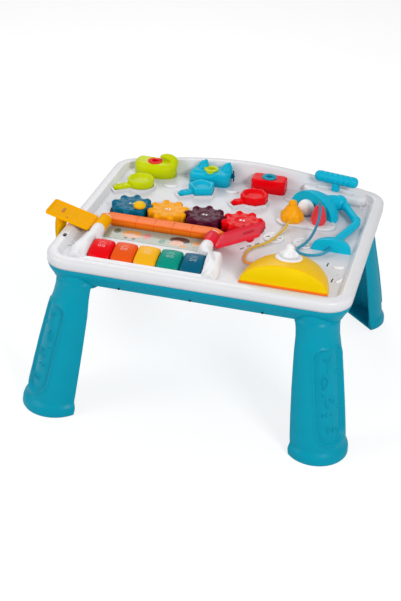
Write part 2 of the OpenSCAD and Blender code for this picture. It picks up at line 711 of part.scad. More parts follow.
module light_bar_lens() color("#fa7d46") on_table() translate([bar_at[0], bar_at[1], field_z + 6]) difference() {
    hull() {
        linear_extrude(eps) bar_outline(80, 93, 8.8);
        translate([0, 0, 4.5]) linear_extrude(eps) bar_outline(76, 82, 7);
    }
    cube([150, 11, 4], center = true);
    for (i = [-2:2]) if (i < 2) translate([33 * (i + 0.5), 0, 4.5]) cube([1.2, 30, 2], center = true);
}

module light_bar_leds() color("white") on_table() for (i = [-2:2])
    translate([bar_at[0] + 33 * i, bar_at[1], field_z]) cylinder(h = 7, r = 2.5);

module picture_panel() color("#a5aa9b") on_table()
    translate([bay_x, -67, field_z - 1.2]) linear_extrude(1.5) rounded_rect(150.6, 38.6, 4);

// ---- Piano keys and electronics ----

// Key with a rounded front that swings about a rod behind it.
module piano_key(i) on_table() {
    x = keys_x + (i - (key_count + 1) / 2) * key_pitch;
    w = key_pitch - key_gap;
    deep = key_back - key_front;
    difference() {
        union() {
            translate([x - w / 2, 0, 0]) rotate([90, 0, 90]) linear_extrude(w) polygon(concat(
                [[key_back, key_low], [key_front, key_low]],
                [for (k = [0:8]) [key_front + deep * k / 8, field_z + 2 + (key_rise - 2) * sin(90 * k / 8)]]));
            translate([x - 5, key_back - 1, rod_at[1] - 3]) cube([10, rod_at[0] - key_back + 1, 5]);
            along_x(rod_at[0], rod_at[1], x - 5, x + 5, 3.4);
        }
        translate([x - w / 2 + 2.5, key_front + 2.5, key_low - 1]) cube([w - 5, deep - 5, field_z - key_low]);
        along_x(rod_at[0], rod_at[1], x - 6, x + 6, rod_r + shaft_fit);
    }
    translate([x, plunger_y, plunger_z]) cylinder(h = field_z - plunger_z, r = 3);
}

module piano_key_1() color("#e60028") piano_key(1);
module piano_key_2() color("#f05a14") piano_key(2);
module piano_key_3() color("#faba1e") piano_key(3);
module piano_key_4() color("#009682") piano_key(4);
module piano_key_5() color("#005f7d") piano_key(5);

module key_rod() color("silver") on_table()
    along_x(rod_at[0], rod_at[1], keys_x - key_count * key_pitch / 2 - 5, keys_x + key_count * key_pitch / 2 + 5, rod_r);

module circuit_board() color("#1c7a3c") on_table() {
    translate([board_from[0], board_from[1], board_z]) cube([139, 66, board_t]);
    translate([-120, -92, board_z]) cube([14, 14, board_t + 2]);
    translate([-80, -90, board_z]) cube([10, 8, board_t + 6]);
    translate([-60, -76, board_z]) cylinder(h = board_t + 8, r = 3);
}

module key_contacts() color("#30343a") on_table() {
    translate([board_from[0], plunger_y - 4, board_z + board_t]) cube([139, 8, 1]);
    for (i = [1:key_count]) translate([keys_x + (i - 3) * key_pitch, plunger_y, board_z + board_t])
        cylinder(h = plunger_z - 2 - board_z - board_t, r = 4);
}

// ---- Flaps ----

module flap_frame(s) on_table() translate([bay_x + s * hinge_half, flap_y, hinge_z])
    mirror([s < 0 ? 1 : 0, 0, 0]) rotate([0, s < 0 ? -left_open : -right_open, 0]) children();

// Shallow lid that swings about a barrel; the plate hangs a little below the barrel's axis.
module flap(s) flap_frame(s) difference() {
    far = s < 0 ? left_far : right_far;
    long = far - flap_near;
    tab_u = (left_far - flap_over + tab_clear) / cos(left_open);
    union() {
        along_y(0, 0, -11.6, flap_w / 2 - 3.9, 9.5);
        translate([4, -11.6, -flap_low]) cube([flap_near, flap_w / 2 + 7.7, flap_t + 1]);
        translate([flap_near + long / 2, 0, -flap_low]) linear_extrude(flap_t + 1.6) rounded_rect(long, flap_w, 4);
        along_y(far - lobe_in, -flap_low - 2, -5, 5, 8);
        if (s < 0) translate([tab_u, -4, -flap_low - 4]) rotate([-90, 0, 0]) linear_extrude(8)
            polygon([[0, 0], [tab_w, 0], [tab_w - 1, 18], [8, 32], [3, 43], [1.5, 43], [-1, 26], [0, 10]]);
    }
    translate([flap_near + long / 2, 0, -flap_low + flap_t]) linear_extrude(8) rounded_rect(long - 4, flap_w - 4, 3);
    translate([far - lobe_in + 2, 6, -flap_low - 1]) cube([11, 3.5, 12]);
    along_y(0, 0, -30, 30, 2 + shaft_fit);
}

module left_flap() color("#ffb400") flap(-1);
module right_flap() color("#f02846") flap(1);

module flap_pins() color("silver") on_table() for (s = [-1, 1])
    along_y(bay_x + s * hinge_half, hinge_z, -96.5, flap_y + flap_w / 2 + 1, 2);

// ---- Dome ----

module half_ellipsoid(a, b, c) intersection() {
    scale([a, b, c]) sphere(1);
    translate([-a - 1, 0, 0]) cube([2 * a + 2, b + 1, c + 1]);
}

module on_plate() translate([dome_at[0], dome_at[1] + plate_y, plate_z]) rotate([-plate_tilt, 0, 0]) children();

module dome_strip() color("#f58a10") on_table()
    translate([dome_at[0] - dome_half, dome_at[1] - 1.5, field_z]) cube([2 * dome_half, 12, strip_h]);

module dome_housing() color("#f5c81e") on_table() difference() {
    translate([dome_at[0], dome_at[1], field_z]) half_ellipsoid(dome_half, dome_deep, strip_h + dome_h);
    translate([dome_at[0], dome_at[1] + wall, field_z - 1])
        half_ellipsoid(dome_half - wall, dome_deep - 2 * wall, strip_h + dome_h - wall + 1);
    translate([dome_at[0] - dome_half - 1, dome_at[1] - 1, field_z - 1]) cube([2 * dome_half + 2, 11.5, strip_h + 1]);
    translate([dome_at[0] - 61, dome_at[1] + 49.5, field_z + 6]) rotate([0, 90, atan2(-8, 16)])
        cylinder(h = 30, r = amber_r);
    on_plate() cylinder(h = 20, r = plate_r + 0.01);
    on_plate() translate([0, 0, -10]) cylinder(h = 20, r = plate_r - 3);
}

module dome_plate() color("white") on_table() on_plate() difference() {
    cylinder(h = plate_t, r = plate_r);
    translate([0, 0, -1]) cylinder(h = 10, r = 6 + shaft_fit);
}

// Crown-shaped knob with a stem through the plate and a retaining rim below it.
module dome_knob() color("white") on_table() on_plate() {
    translate([0, 0, -6]) cylinder(h = 12, r = 6);
    translate([0, 0, -6]) cylinder(h = 5.6, r = 9);
    translate([0, 0, plate_t + 0.4]) rotate_extrude() polygon([[0, 0], [11, 0], [12, 3], [10, 7], [6.5, 10],
        [5, 15], [3, 17.5], [0, 18]]);
    for (i = [0:5]) rotate(60 * i + 17) translate([9, 0, plate_t + 1]) cylinder(h = 5.1, r = 3.4);
}

// ---- Lamp ----

module rod(p, q, r) {
    d = q - p;
    translate(p) rotate([0, acos(d[2] / norm(d)), atan2(d[1], d[0])]) cylinder(h = norm(d), r = r);
}

module lamp_base() color("#1eaacc") on_table() translate([lamp_at[0], lamp_at[1], field_z]) difference() {
    union() {
        half_dome_shell(lamp_base_r, lamp_base_h, wall);
        intersection() {
            half_dome(lamp_base_r - wall / 2, lamp_base_h - wall / 2);
            translate([-lamp_base_r, 0, 0]) cube([2 * lamp_base_r, wall, lamp_base_h]);
        }
    }
    translate([0, 40, arm_r + 1]) rotate([90, 0, 0]) cylinder(h = 25, r = arm_r);
    translate([-2, 20, 7]) rotate([90, 0, 0]) cylinder(h = 30, r = blue_r);
}

module lamp_arm() color("#1eaacc") on_table() difference() {
    union() {
        translate(arm_path[0] + [0, -8, 0]) rotate([-90, 0, 0]) cylinder(h = 8, r = arm_r);
        for (i = [0, 1]) rod(arm_path[i], arm_path[i + 1], arm_r);
        for (i = [0, 1]) translate(arm_path[i]) sphere(arm_r + 0.7);
        translate(arm_path[2]) sphere(arm_r + 4);
    }
    translate([shade_at[0], shade_at[1], field_z]) rotate(shade_turn + 180) half_dome(shade_r, shade_h);
}

module lamp_shade() color("#1eaacc") on_table() translate([shade_at[0], shade_at[1], field_z])
    rotate(shade_turn + 180) half_dome_shell(shade_r, shade_h, 5);

module lamp_bulb() color("white") on_table() translate([bulb_at[0], bulb_at[1], field_z]) {
    cylinder(h = 4, r = 8);
    translate([0, 0, bulb_r]) sphere(bulb_r - 0.2);
}

// ---- Plugs and cords ----

module amber_plug() color("#ffb410") on_table() translate([plug_x[0], plug_y, 0]) {
    translate([0, 0, seam_z + 3]) cylinder(h = field_z - seam_z + 2, r = socket_r);
    translate([0, 0, field_z + holder_h]) {
        difference() {
            rotate(22.5) cylinder(h = 13, r = 17, $fn = 8);
            translate([0, -9, 6]) rotate([90, 0, 0]) cylinder(h = 20, r = amber_r);
        }
        translate([0, 0, 13 - eps]) cylinder(h = 9, r1 = 15, r2 = 8);
        translate([0, 0, 22 - 2 * eps]) cylinder(h = 7, r = 6.5);
        translate([0, 0, 29 - 3 * eps]) cylinder(h = 3, r1 = 6.5, r2 = 4);
    }
}

module red_plug() color("#f04650") on_table() translate([plug_x[1], plug_y, 0]) {
    translate([0, 0, seam_z + 3]) cylinder(h = field_z - seam_z + 2, r = socket_r);
    translate([0, 0, field_z + holder_h]) difference() {
        rotate_extrude() polygon([[0, 0], [9, 0], [11.5, 4], [11.5, 9], [9.5, 16], [7, 23], [5, 28], [4, 30], [0, 30]]);
        translate([0, 0, 24]) cylinder(h = 10, r = blue_r);
    }
}

module amber_cord() color("#f0b428") on_table() tube(amber_route, amber_r);
module blue_cord() color("#2888a8") on_table() tube(blue_route, blue_r);

// Raised seat of both plugs, with its corner trimmed round the foot of the lamp's shade.
module plug_holder() color("whitesmoke") on_table() difference() {
    translate([(plug_x[0] + plug_x[1]) / 2 + 1.5, plug_y, field_z]) linear_extrude(holder_h) stadium(92, 34);
    for (x = plug_x) translate([x, plug_y, field_z - 1]) cylinder(h = holder_h + 2, r = socket_r);
    translate([shade_at[0], shade_at[1], field_z - 1]) rotate(shade_turn + 180)
        half_dome(shade_r + flap_gap, 2 * shade_h);
}

// ---- Slide ----

module on_track() translate([track_at[0], track_at[1], field_z]) rotate(track_turn) children();

module slide_track() color("whitesmoke") on_table() difference() {
    intersection() {
        inside_rim();
        track(field_z, field_z + track_h, 27, 104);
    }
    track(field_z - 1, field_z + track_h + 1, slot_w, 2 * slot_half + slot_w);
}

module slide_handle() color("#1eaacc") on_table() on_track() {
    translate([0, 0, -6]) cylinder(h = track_h + 16, r = slot_w / 2 - slack);
    translate([0, 0, track_h + slack]) cylinder(h = 6, r1 = 9, r2 = 5);
    translate([0, 0, track_h + 21]) rotate([0, 90, 0]) {
        cylinder(h = 68, r = 7.6, center = true);
        for (i = [-4:4]) translate([0, 0, 7.2 * i]) cylinder(h = 4.2, r = 8.6, center = true);
    }
    translate([0, 0, track_h + slack]) cylinder(h = 14.6, r = 5);
}

module slide_shoe() color("#404448") on_table() on_track() difference() {
    translate([0, 0, -wall - slack - 2]) linear_extrude(2) stadium(34, 16);
    translate([0, 0, -10]) cylinder(h = 20, r = slot_w / 2 - slack);
}

// ---- Inside the casing ----

module speaker() color("#303030") on_table() translate([speaker_at[0], speaker_at[1], base_z + wall]) {
    cylinder(h = 3, r = speaker_r);
    translate([0, 0, 3 - eps]) cylinder(h = 5, r1 = speaker_r - 2, r2 = 9);
    translate([0, 0, 7]) cylinder(h = 6, r = 9);
}

module battery_door() color("#0098b4") on_table() translate([battery_at[0], battery_at[1], base_z]) difference() {
    union() {
        linear_extrude(2.4) rounded_rect(battery_size[0] + 9.6, battery_size[1] + 9.6, 2);
        translate([-5.8, -battery_size[1] / 2 - 14, 0]) cube([11.6, 10, 1.4]);
    }
    translate([0, -battery_size[1] / 2 - 9, -1]) cylinder(h = 5, r = screw_r + 0.1);
}

module battery_cells() color("#c8a040") on_table() translate([battery_at[0], battery_at[1], base_z + 2.4 + cell_r])
    for (i = [-1:1]) translate([0, i * 15.5, 0]) rotate([0, 90, 0]) {
        cylinder(h = cell_len, r = cell_r, center = true);
        translate([0, 0, cell_len / 2 - eps]) cylinder(h = 1.2, r = 2.7);
    }

module battery_contacts() color("silver") on_table() translate([battery_at[0], battery_at[1], base_z + 2.5])
    for (i = [-1:1], s = [-1, 1]) translate([s * (battery_size[0] / 2 - 0.3), i * 15.5, 7]) {
        cube([0.6, 10, 12], center = true);
        translate([s < 0 ? 0.3 - eps : -0.3 + eps, 0, 0]) rotate([0, s * -90, 0])
            cylinder(h = battery_size[0] / 2 - 0.6 - cell_len / 2 - (s > 0 ? 1.2 : 0), r1 = 3.5, r2 = 2);
    }

module case_screws() color("silver") on_table() {
    for (p = case_posts) translate([p[0], p[1], base_z + 1]) screw(post_split - base_z + 4);
    translate([battery_at[0], battery_at[1] - battery_size[1] / 2 - 9, base_z - 2]) screw(9);
}

module power_switch() color("#20262c") on_table() translate([switch_at[0], switch_at[1], rim_z]) {
    translate([0, 0, -2.8]) cube([5.2, 14, 1.2], center = true);
    translate([0, 0, -0.2]) cube([4, 6, 5.2], center = true);
    translate([0, 0, -5]) cube([2.4, 10, 4], center = true);
}

top_tray();
base_shell();
front_left_leg();
front_right_leg();
rear_left_leg();
rear_right_leg();
leg_screws();
lime_lock();
blue_lock();
red_lock();
lime_keyhole();
blue_keyhole();
red_keyhole();
propeller();
lime_key();
blue_key();
red_key();
teal_gear();
amber_gear();
maroon_gear();
red_gear();
gear_axles();
crank_knob();
light_bar_frame();
light_bar_lens();
light_bar_leds();
picture_panel();
piano_key_1();
piano_key_2();
piano_key_3();
piano_key_4();
piano_key_5();
key_rod();
key_contacts();
circuit_board();
left_flap();
right_flap();
flap_pins();
dome_housing();
dome_strip();
dome_plate();
dome_knob();
lamp_base();
lamp_arm();
lamp_shade();
lamp_bulb();
amber_plug();
red_plug();
amber_cord();
blue_cord();
plug_holder();
slide_track();
slide_handle();
slide_shoe();
speaker();
battery_door();
battery_cells();
battery_contacts();
case_screws();
power_switch();
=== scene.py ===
"""Musical activity table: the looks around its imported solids.

Lengths in the shape functions are millimetres in the table's own frame, whose X is TABLE_X less than the
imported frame's. build() adds TABLE_X and turns the lengths into metres.
"""

import json
import math

import bmesh
import bpy
import numpy as np
from mathutils import Matrix, Vector


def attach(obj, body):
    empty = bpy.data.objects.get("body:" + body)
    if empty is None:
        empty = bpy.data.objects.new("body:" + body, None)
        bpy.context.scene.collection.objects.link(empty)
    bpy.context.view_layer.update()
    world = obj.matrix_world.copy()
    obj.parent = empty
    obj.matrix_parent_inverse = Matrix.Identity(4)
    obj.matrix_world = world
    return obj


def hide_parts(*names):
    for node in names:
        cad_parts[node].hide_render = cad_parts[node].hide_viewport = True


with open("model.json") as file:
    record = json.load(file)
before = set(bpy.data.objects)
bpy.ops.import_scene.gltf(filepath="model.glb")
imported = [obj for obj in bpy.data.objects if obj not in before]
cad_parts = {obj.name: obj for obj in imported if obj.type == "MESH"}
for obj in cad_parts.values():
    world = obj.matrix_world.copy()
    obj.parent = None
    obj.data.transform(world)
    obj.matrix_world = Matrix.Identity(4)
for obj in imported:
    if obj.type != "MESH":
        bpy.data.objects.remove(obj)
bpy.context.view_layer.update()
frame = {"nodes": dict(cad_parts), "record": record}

MM = 0.001
WELD = 2e-6  # points nearer than this, in metres, become one
TABLE_X = 5.4737  # the tray's middle: the left flap reaches further out than the right side does
TABLE_W, TABLE_D, CORNER = 440.0, 377.0, 38.0
FIELD = 228.0  # heights above the floor: the tray's field, its front rim, the seam and the underside
RIM = 236.0
SEAM = 221.0
BASE = 196.0

# ---------------------------------------------------------------- camera

CAMERA_TARGET = np.array([-30.3, 0.0, 96.083])
CAMERA_TURN, CAMERA_TILT, CAMERA_ROLL = 13.781, 30.112, 2.443
CAMERA_DISTANCE = 1952.911
LENS, SENSOR = 75.13, 36.0


def place_camera():
    """Camera on a sphere round the target, rolled about back, which is (sin t cos e, -cos t cos e, sin e)."""
    t, e, r = (math.radians(a) for a in (CAMERA_TURN, CAMERA_TILT, CAMERA_ROLL))
    back = np.array([math.sin(t) * math.cos(e), -math.cos(t) * math.cos(e), math.sin(e)])
    level = np.array([math.cos(t), math.sin(t), 0.0])
    up = np.cross(back, level)
    right = level * math.cos(r) + up * math.sin(r)
    top = up * math.cos(r) - level * math.sin(r)
    at = (CAMERA_TARGET + [TABLE_X, 0, 0] + CAMERA_DISTANCE * back) * MM
    camera = bpy.data.objects.new("camera", bpy.data.cameras.new("camera"))
    bpy.context.scene.collection.objects.link(camera)
    camera.data.lens, camera.data.sensor_width = LENS, SENSOR
    camera.data.clip_start, camera.data.clip_end = 0.05, 30
    matrix = Matrix(np.stack([right, top, back], axis=-1).tolist()).to_4x4()
    matrix.translation = Vector(at)
    camera.matrix_world = matrix
    bpy.context.scene.camera = camera


place_camera()

# ---------------------------------------------------------------- finishes


def srgb(r, g, b):
    """Linear colour of an 8-bit sRGB one: c/12.92 below 0.04045, else ((c+0.055)/1.055) to the power 2.4."""
    c = np.array([r, g, b]) / 255.0
    return (*np.where(c <= 0.04045, c / 12.92, ((c + 0.055) / 1.055) ** 2.4), 1.0)


class Finish:
    """Node tree of one finish, with short calls for the nodes that it uses.

    A socket is named with _ for each space in its name, or by its number as _0, _1 and so on.
    """

    SKIN_DEPTH = 0.0003

    def __init__(self, name):
        self.material = bpy.data.materials.new(name)
        self.material.use_nodes = True
        self.nodes = self.material.node_tree.nodes
        self.links = self.material.node_tree.links
        self.nodes.clear()
        self.output = self.add("ShaderNodeOutputMaterial")
        self.shader = self.add("ShaderNodeBsdfPrincipled")
        self.links.new(self.shader.outputs[0], self.output.inputs[0])
        self.place = self.add("ShaderNodeTexCoord").outputs["Object"]

    def add(self, kind, **sockets):
        """New node, with the sockets named set."""
        node = self.nodes.new(kind)
        for key, value in sockets.items():
            self.set(node, key, value)
        return node

    def set(self, node, key, value):
        """Another node's output is linked to the socket; anything else becomes its value."""
        socket = node.inputs[int(key[1:])] if key[0] == "_" else node.inputs[key.replace("_", " ")]
        if hasattr(value, "links"):
            self.links.new(value, socket)
        else:
            socket.default_value = value

    def noise(self, scale, detail=2.0, rough=0.5, place=None):
        """Noise over the piece's own coordinates, or over the place given."""
        return self.add("ShaderNodeTexNoise", Vector=place or self.place, Scale=scale, Detail=detail,
                        Roughness=rough).outputs[0]

    def ramp(self, value, low, high, start, end):
        """Value carried from the range low..high to start..end, held at both ends."""
        return self.add("ShaderNodeMapRange", _0=value, _1=low, _2=high, _3=start, _4=end).outputs[0]

    def math(self, operation, a, b):
        """Operation on two values."""
        node = self.add("ShaderNodeMath", _0=a, _1=b)
        node.operation = operation
        return node.outputs[0]

    def mix(self, share, a, b):
        """Colour that goes from a to b with the share; a Mix node has its colours on sockets 6 and 7."""
        node = self.add("ShaderNodeMix")
        node.data_type = "RGBA"
        for key, value in (("_0", share), ("_6", a), ("_7", b)):
            self.set(node, key, value)
        return node.outputs[2]

    def axes(self):
        """X, Y and Z of the piece's own coordinates."""
        return self.add("ShaderNodeSeparateXYZ", _0=self.place).outputs

    def mottled(self, colour, value, low, high):
        """Colour whose brightness follows a noise from low to high."""
        bright = self.ramp(value, 0.3, 0.7, low, high)
        return self.add("ShaderNodeHueSaturation", Value=bright, Color=colour).outputs[0]

    def paint(self, colour):
        """Base colour of the surface."""
        self.set(self.shader, "Base_Color", colour)

    def rough(self, value, low, high, start=0.35):
        """Roughness that follows a noise, between start and 0.7, from low to high."""
        self.set(self.shader, "Roughness", self.ramp(value, start, 0.7, low, high))

    def skin(self, height, strength):
        """Fine relief of the surface, SKIN_DEPTH deep."""
        bump = self.add("ShaderNodeBump", Strength=strength, Distance=self.SKIN_DEPTH, Height=height)
        self.set(self.shader, "Normal", bump.outputs[0])

    def gloss(self, shine, coat, coat_rough):
        """Mirror light of the plastic itself, and a clear coat over it."""
        sockets = {"Specular_IOR_Level": shine, "Coat_Weight": coat, "Coat_Roughness": coat_rough}
        for key, value in sockets.items():
            self.set(self.shader, key, value)


def moulded(name, colour, rough=0.34, mottle=0.025, coat=0.04, glow=0.0, shine=0.09):
    """Moulded plastic: slow mottling of the pigment, a faint orange-peel skin and rubbed, duller patches."""
    f = Finish(name)
    f.paint(f.mottled(colour, f.noise(38.0, 3.0, 0.6), 1 - mottle, 1 + mottle))
    f.rough(f.noise(110.0, 4.0, 0.65), rough * 0.85, rough * 1.2)
    f.skin(f.noise(900.0), 0.02)
    f.gloss(shine, coat, 0.12)
    if glow:
        f.set(f.shader, "Subsurface_Weight", glow)
        f.set(f.shader, "Subsurface_Radius", (0.004, 0.004, 0.004))
    return f.material


def tray_plastic():
    """White tray plastic: the field is greyer than the rim, partly its own tone and partly painted shade of
    the sunk field, and height carries one into the other.
    """
    f = Finish("tray_plastic")
    # painted shade: the lower the surface, the more grey it takes, as shade falls in the sunk field; part of
    # the grey is the field's own tone
    low = f.ramp(f.axes()[2], (FIELD - 12) * MM, (FIELD + 7) * MM, 1.0, 0.0)
    slow = f.noise(14.0)
    white = f.mottled(srgb(232, 232, 235), slow, 0.99, 1.01)
    grey = f.mottled(srgb(204, 205, 212), slow, 0.975, 1.02)
    f.paint(f.mix(low, white, grey))
    f.rough(f.noise(90.0, 4.0, 0.6), 0.3, 0.4)
    f.skin(f.noise(700.0), 0.015)
    f.gloss(0.35, 0.08, 0.15)
    return f.material


def bare_steel():
    """Plain steel: stretched noise draws fine lines along Z, and the roughness follows it."""
    f = Finish("bare_steel")
    stretch = f.add("ShaderNodeMapping", Vector=f.place, Scale=(900.0, 900.0, 60.0))
    lines = f.noise(1.0, 3.0, 0.6, stretch.outputs[0])
    f.paint(f.mottled(srgb(196, 198, 202), lines, 0.9, 1.05))
    f.rough(lines, 0.24, 0.4, 0.3)
    f.set(f.shader, "Metallic", 1.0)
    f.skin(lines, 0.05)
    return f.material


PETALS = [  # middle, half widths and ink of each ellipse on the picture panel
    (-122, -66, 15, 11, (222, 150, 62)), (-122, -69, 9.5, 7, (222, 168, 140)),
    (-146, -62, 5, 8, (74, 104, 74)),
    (-99, -66, 6, 9, (205, 120, 118)), (-128, -79, 3, 3, (52, 58, 60)), (-116, -79, 3, 3, (52, 58, 60)),
    (-74, -74, 5, 7, (64, 128, 104)), (-50, -62, 15, 10, (66, 50, 52)), (-52, -72, 10, 9, (220, 164, 136)),
    (-24, -66, 6, 7, (222, 160, 84)), (-40, -79, 6, 4, (205, 140, 70)),
]


def printed_sheet():
    """Laminated print: a grey-green ground with petals and leaves.

    A point is in an ellipse where its offsets over the half widths, squared and added, stay below about 1.
    """
    f = Finish("printed_sheet")
    x, y, _ = f.axes()
    colour = f.mottled(srgb(160, 168, 152), f.noise(60.0, 3.0, 0.6), 0.97, 1.03)
    for cx, cy, rx, ry, ink in PETALS:
        dx = f.math("DIVIDE", f.math("SUBTRACT", x, (cx + TABLE_X) * MM), rx * MM)
        dy = f.math("DIVIDE", f.math("SUBTRACT", y, cy * MM), ry * MM)
        far = f.math("ADD", f.math("MULTIPLY", dx, dx), f.math("MULTIPLY", dy, dy))
        colour = f.mix(f.ramp(far, 0.93, 1.07, 1.0, 0.0), colour, srgb(*ink))
    f.paint(colour)
    f.rough(f.noise(150.0, 3.0, 0.6), 0.2, 0.3, 0.3)
    f.skin(f.noise(500.0), 0.015)
    f.gloss(0.3, 0.25, 0.1)
    return f.material


def cord_vinyl(name, near, far, split, soft):
    """Soft vinyl: two colours that run into each other along Y round the split, and a faint skin."""
    f = Finish(name)
    share = f.ramp(f.axes()[1], (split - soft) * MM, (split + soft) * MM, 0.0, 1.0)
    f.paint(f.mottled(f.mix(share, far, near), f.noise(60.0, 3.0, 0.6), 0.95, 1.05))
    f.rough(f.noise(160.0, 3.0, 0.6), 0.36, 0.5)
    f.skin(f.noise(1100.0), 0.06)
    return f.material


COLOURS = {
    "teal": (0, 152, 178), "lime": (208, 220, 0), "cyan": (10, 186, 218), "red": (240, 0, 14),
    "deep_teal": (0, 108, 140), "amber": (255, 172, 14), "amber_shade": (206, 126, 8),
    "flap_amber": (255, 180, 0),
    # the dome's front yellow is brighter than the dome's own yellow: painted light on its upright front
    "maroon": (84, 16, 46), "yellow": (248, 198, 20), "dome_front_lit_yellow": (250, 214, 0), "orange": (255, 128, 26),
    "coral": (255, 124, 44), "seam": (214, 88, 30), "pink": (236, 40, 62), "crimson": (200, 18, 50),
    "rose": (240, 66, 76), "green": (0, 148, 128), "navy": (0, 94, 124), "key_orange": (240, 88, 18),
    "key_yellow": (250, 184, 28), "bright_white": (244, 244, 246), "milky": (244, 244, 246),
    "print_ink": (244, 244, 246), "black": (30, 32, 36), "board": (28, 112, 58), "cell": (190, 158, 64),
}
MOULDINGS = {
    "teal": {"rough": 0.4, "mottle": 0.02, "coat": 0.03},
    "flap_amber": {"rough": 0.5, "coat": 0.0, "shine": 0.02},
    "milky": {"rough": 0.2, "coat": 0.3, "glow": 0.3},
    "seam": {"rough": 0.5, "coat": 0.0},
    "print_ink": {"rough": 0.45, "coat": 0.0},
}
finishes = {}
for name, colour in COLOURS.items():
    finishes[name] = moulded(name + "_plastic", srgb(*colour), **MOULDINGS.get(name, {}))
finishes["tray"] = tray_plastic()
finishes["steel"] = bare_steel()
finishes["print"] = printed_sheet()
finishes["amber_cord"] = cord_vinyl("amber_cord_vinyl", srgb(226, 186, 48), srgb(245, 150, 40), -84, 22)
finishes["blue_cord"] = cord_vinyl("blue_cord_vinyl", srgb(46, 136, 168), srgb(34, 150, 184), -30, 20)

# ---------------------------------------------------------------- shapes


def joined(*parts):
    """Several (points, faces) as one, each part's faces counted on from the points before it."""
    points, faces, start = [], [], 0
    for p, f in parts:
        points.append(p)
        faces.extend((np.asarray(g) + start) for g in f)
        start += len(p)
    return np.concatenate(points), faces


def skin(rings, around=True, along=False):
    """Quads between rings of points, an array of rings x points x 3, closed around and, if asked, along."""
    m, n = rings.shape[:2]
    i, k = np.meshgrid(np.arange(m if along else m - 1), np.arange(n if around else n - 1), indexing="ij")
    i2, k2 = (i + 1) % m, (k + 1) % n
    quads = np.stack([i * n + k, i * n + k2, i2 * n + k2, i2 * n + k], axis=-1).reshape(-1, 4)
    return rings.reshape(-1, 3), [quads]


def capped(rings):
    """Skin of rings whose two ends are closed by fans to the ends' mean points, which come last."""
    points, faces = skin(rings)
    m, n = rings.shape[:2]
    k = np.arange(n)
    k2 = (k + 1) % n
    first = np.stack([k2, k, np.full(n, m * n)], axis=-1)
    last = np.stack([(m - 1) * n + k, (m - 1) * n + k2, np.full(n, m * n + 1)], axis=-1)
    points = np.concatenate([points, [rings[0].mean(axis=0), rings[-1].mean(axis=0)]])
    return points, faces + [first, last]


def flipped(points, faces):
    """The same points with every face turned over, for a part that was mirrored."""
    return points, [f[:, ::-1] for f in faces]


def build(name, parts, finish, body, replaces=(), turn=None):
    """Mesh object from (points in mm, faces), at the origin and in metres, riding on a body.

    turn carries the points from the piece's own frame to the table's. replaces names the solids that the
    piece stands for.
    """
    points, faces = joined(*parts) if isinstance(parts, list) else joined(parts)
    if turn is not None:
        points = turn(points)
    points = (points + [TABLE_X, 0, 0]) * MM
    sizes = np.concatenate([np.full(len(f), f.shape[1]) for f in faces])
    corners = np.concatenate([f.reshape(-1) for f in faces]).astype(np.int32)
    mesh = bpy.data.meshes.new(name)
    mesh.vertices.add(len(points))
    mesh.vertices.foreach_set("co", points.astype(np.float32).reshape(-1))
    mesh.loops.add(len(corners))
    mesh.loops.foreach_set("vertex_index", corners)
    mesh.polygons.add(len(sizes))
    mesh.polygons.foreach_set("loop_start", (np.cumsum(sizes) - sizes).astype(np.int32))
    mesh.polygons.foreach_set("use_smooth", np.full(len(sizes), True))
    mesh.update(calc_edges=True)
    mesh.validate()
    weld = bmesh.new()
    weld.from_mesh(mesh)
    bmesh.ops.remove_doubles(weld, verts=weld.verts, dist=WELD)
    weld.to_mesh(mesh)
    weld.free()
    piece = bpy.data.objects.new(name, mesh)
    bpy.context.scene.collection.objects.link(piece)
    mesh.materials.append(finishes[finish])
    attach(piece, body)
    if replaces:
        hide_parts(*replaces)
    return piece


def circle(r, n=48, at=(0, 0)):
    """n points on a circle, anticlockwise."""
    a = np.linspace(0, 2 * np.pi, n, endpoint=False)
    return np.stack([at[0] + r * np.cos(a), at[1] + r * np.sin(a)], axis=-1)


def strung(arcs, between):
    """Closed outline of arcs in turn, with points spaced evenly on the straight stretch to the next one."""
    t = np.linspace(0, 1, between + 2)[1:-1, None]
    out = []
    for arc, following in zip(arcs, arcs[1:] + arcs[:1]):
        out += [arc, arc[-1] * (1 - t) + following[0] * t]
    return np.concatenate(out)


def rounded_rect(w, d, r, n=10, at=(0, 0), side=6):
    """Anticlockwise outline of a rectangle with n points on each corner of radius r and side ones between."""
    arcs = []
    for k, (sx, sy) in enumerate([(1, -1), (1, 1), (-1, 1), (-1, -1)]):
        a = np.linspace(-np.pi / 2, 0, n) + k * np.pi / 2
        arcs.append([sx * (w / 2 - r), sy * (d / 2 - r)] + r * np.stack([np.cos(a), np.sin(a)], axis=-1))
    return strung(arcs, side) + at


def cut_corners(raw, r, side):
    """Closed outline through the points, each corner a quadratic curve that starts and ends r from it."""
    raw = np.asarray(raw, dtype=float)
    t, u = np.linspace(0, 1, 5)[:, None], np.linspace(0, 1, side + 1)[1:-1, None]
    out = []
    for a, b, c in zip(np.roll(raw, 1, axis=0), raw, np.roll(raw, -1, axis=0)):
        p, q = b + (a - b) / np.linalg.norm(a - b) * r, b + (c - b) / np.linalg.norm(c - b) * r
        goal = c + (b - c) / np.linalg.norm(b - c) * r
        out += [(1 - t) ** 2 * p + 2 * t * (1 - t) * b + t**2 * q, q * (1 - u) + goal * u]
    return np.concatenate(out)


def turned(points, degrees):
    """Points turned about Z."""
    a = math.radians(degrees)
    m = np.array([[math.cos(a), math.sin(a)], [-math.sin(a), math.cos(a)]])
    out = np.array(points, dtype=float)
    out[..., :2] = out[..., :2] @ m
    return out


def stadium(length, w, n=14, at=(0, 0), turn=0.0):
    """Anticlockwise outline with straight sides and round ends."""
    return turned(rounded_rect(length, w, w / 2 - 1e-3, n, side=8), turn) + at


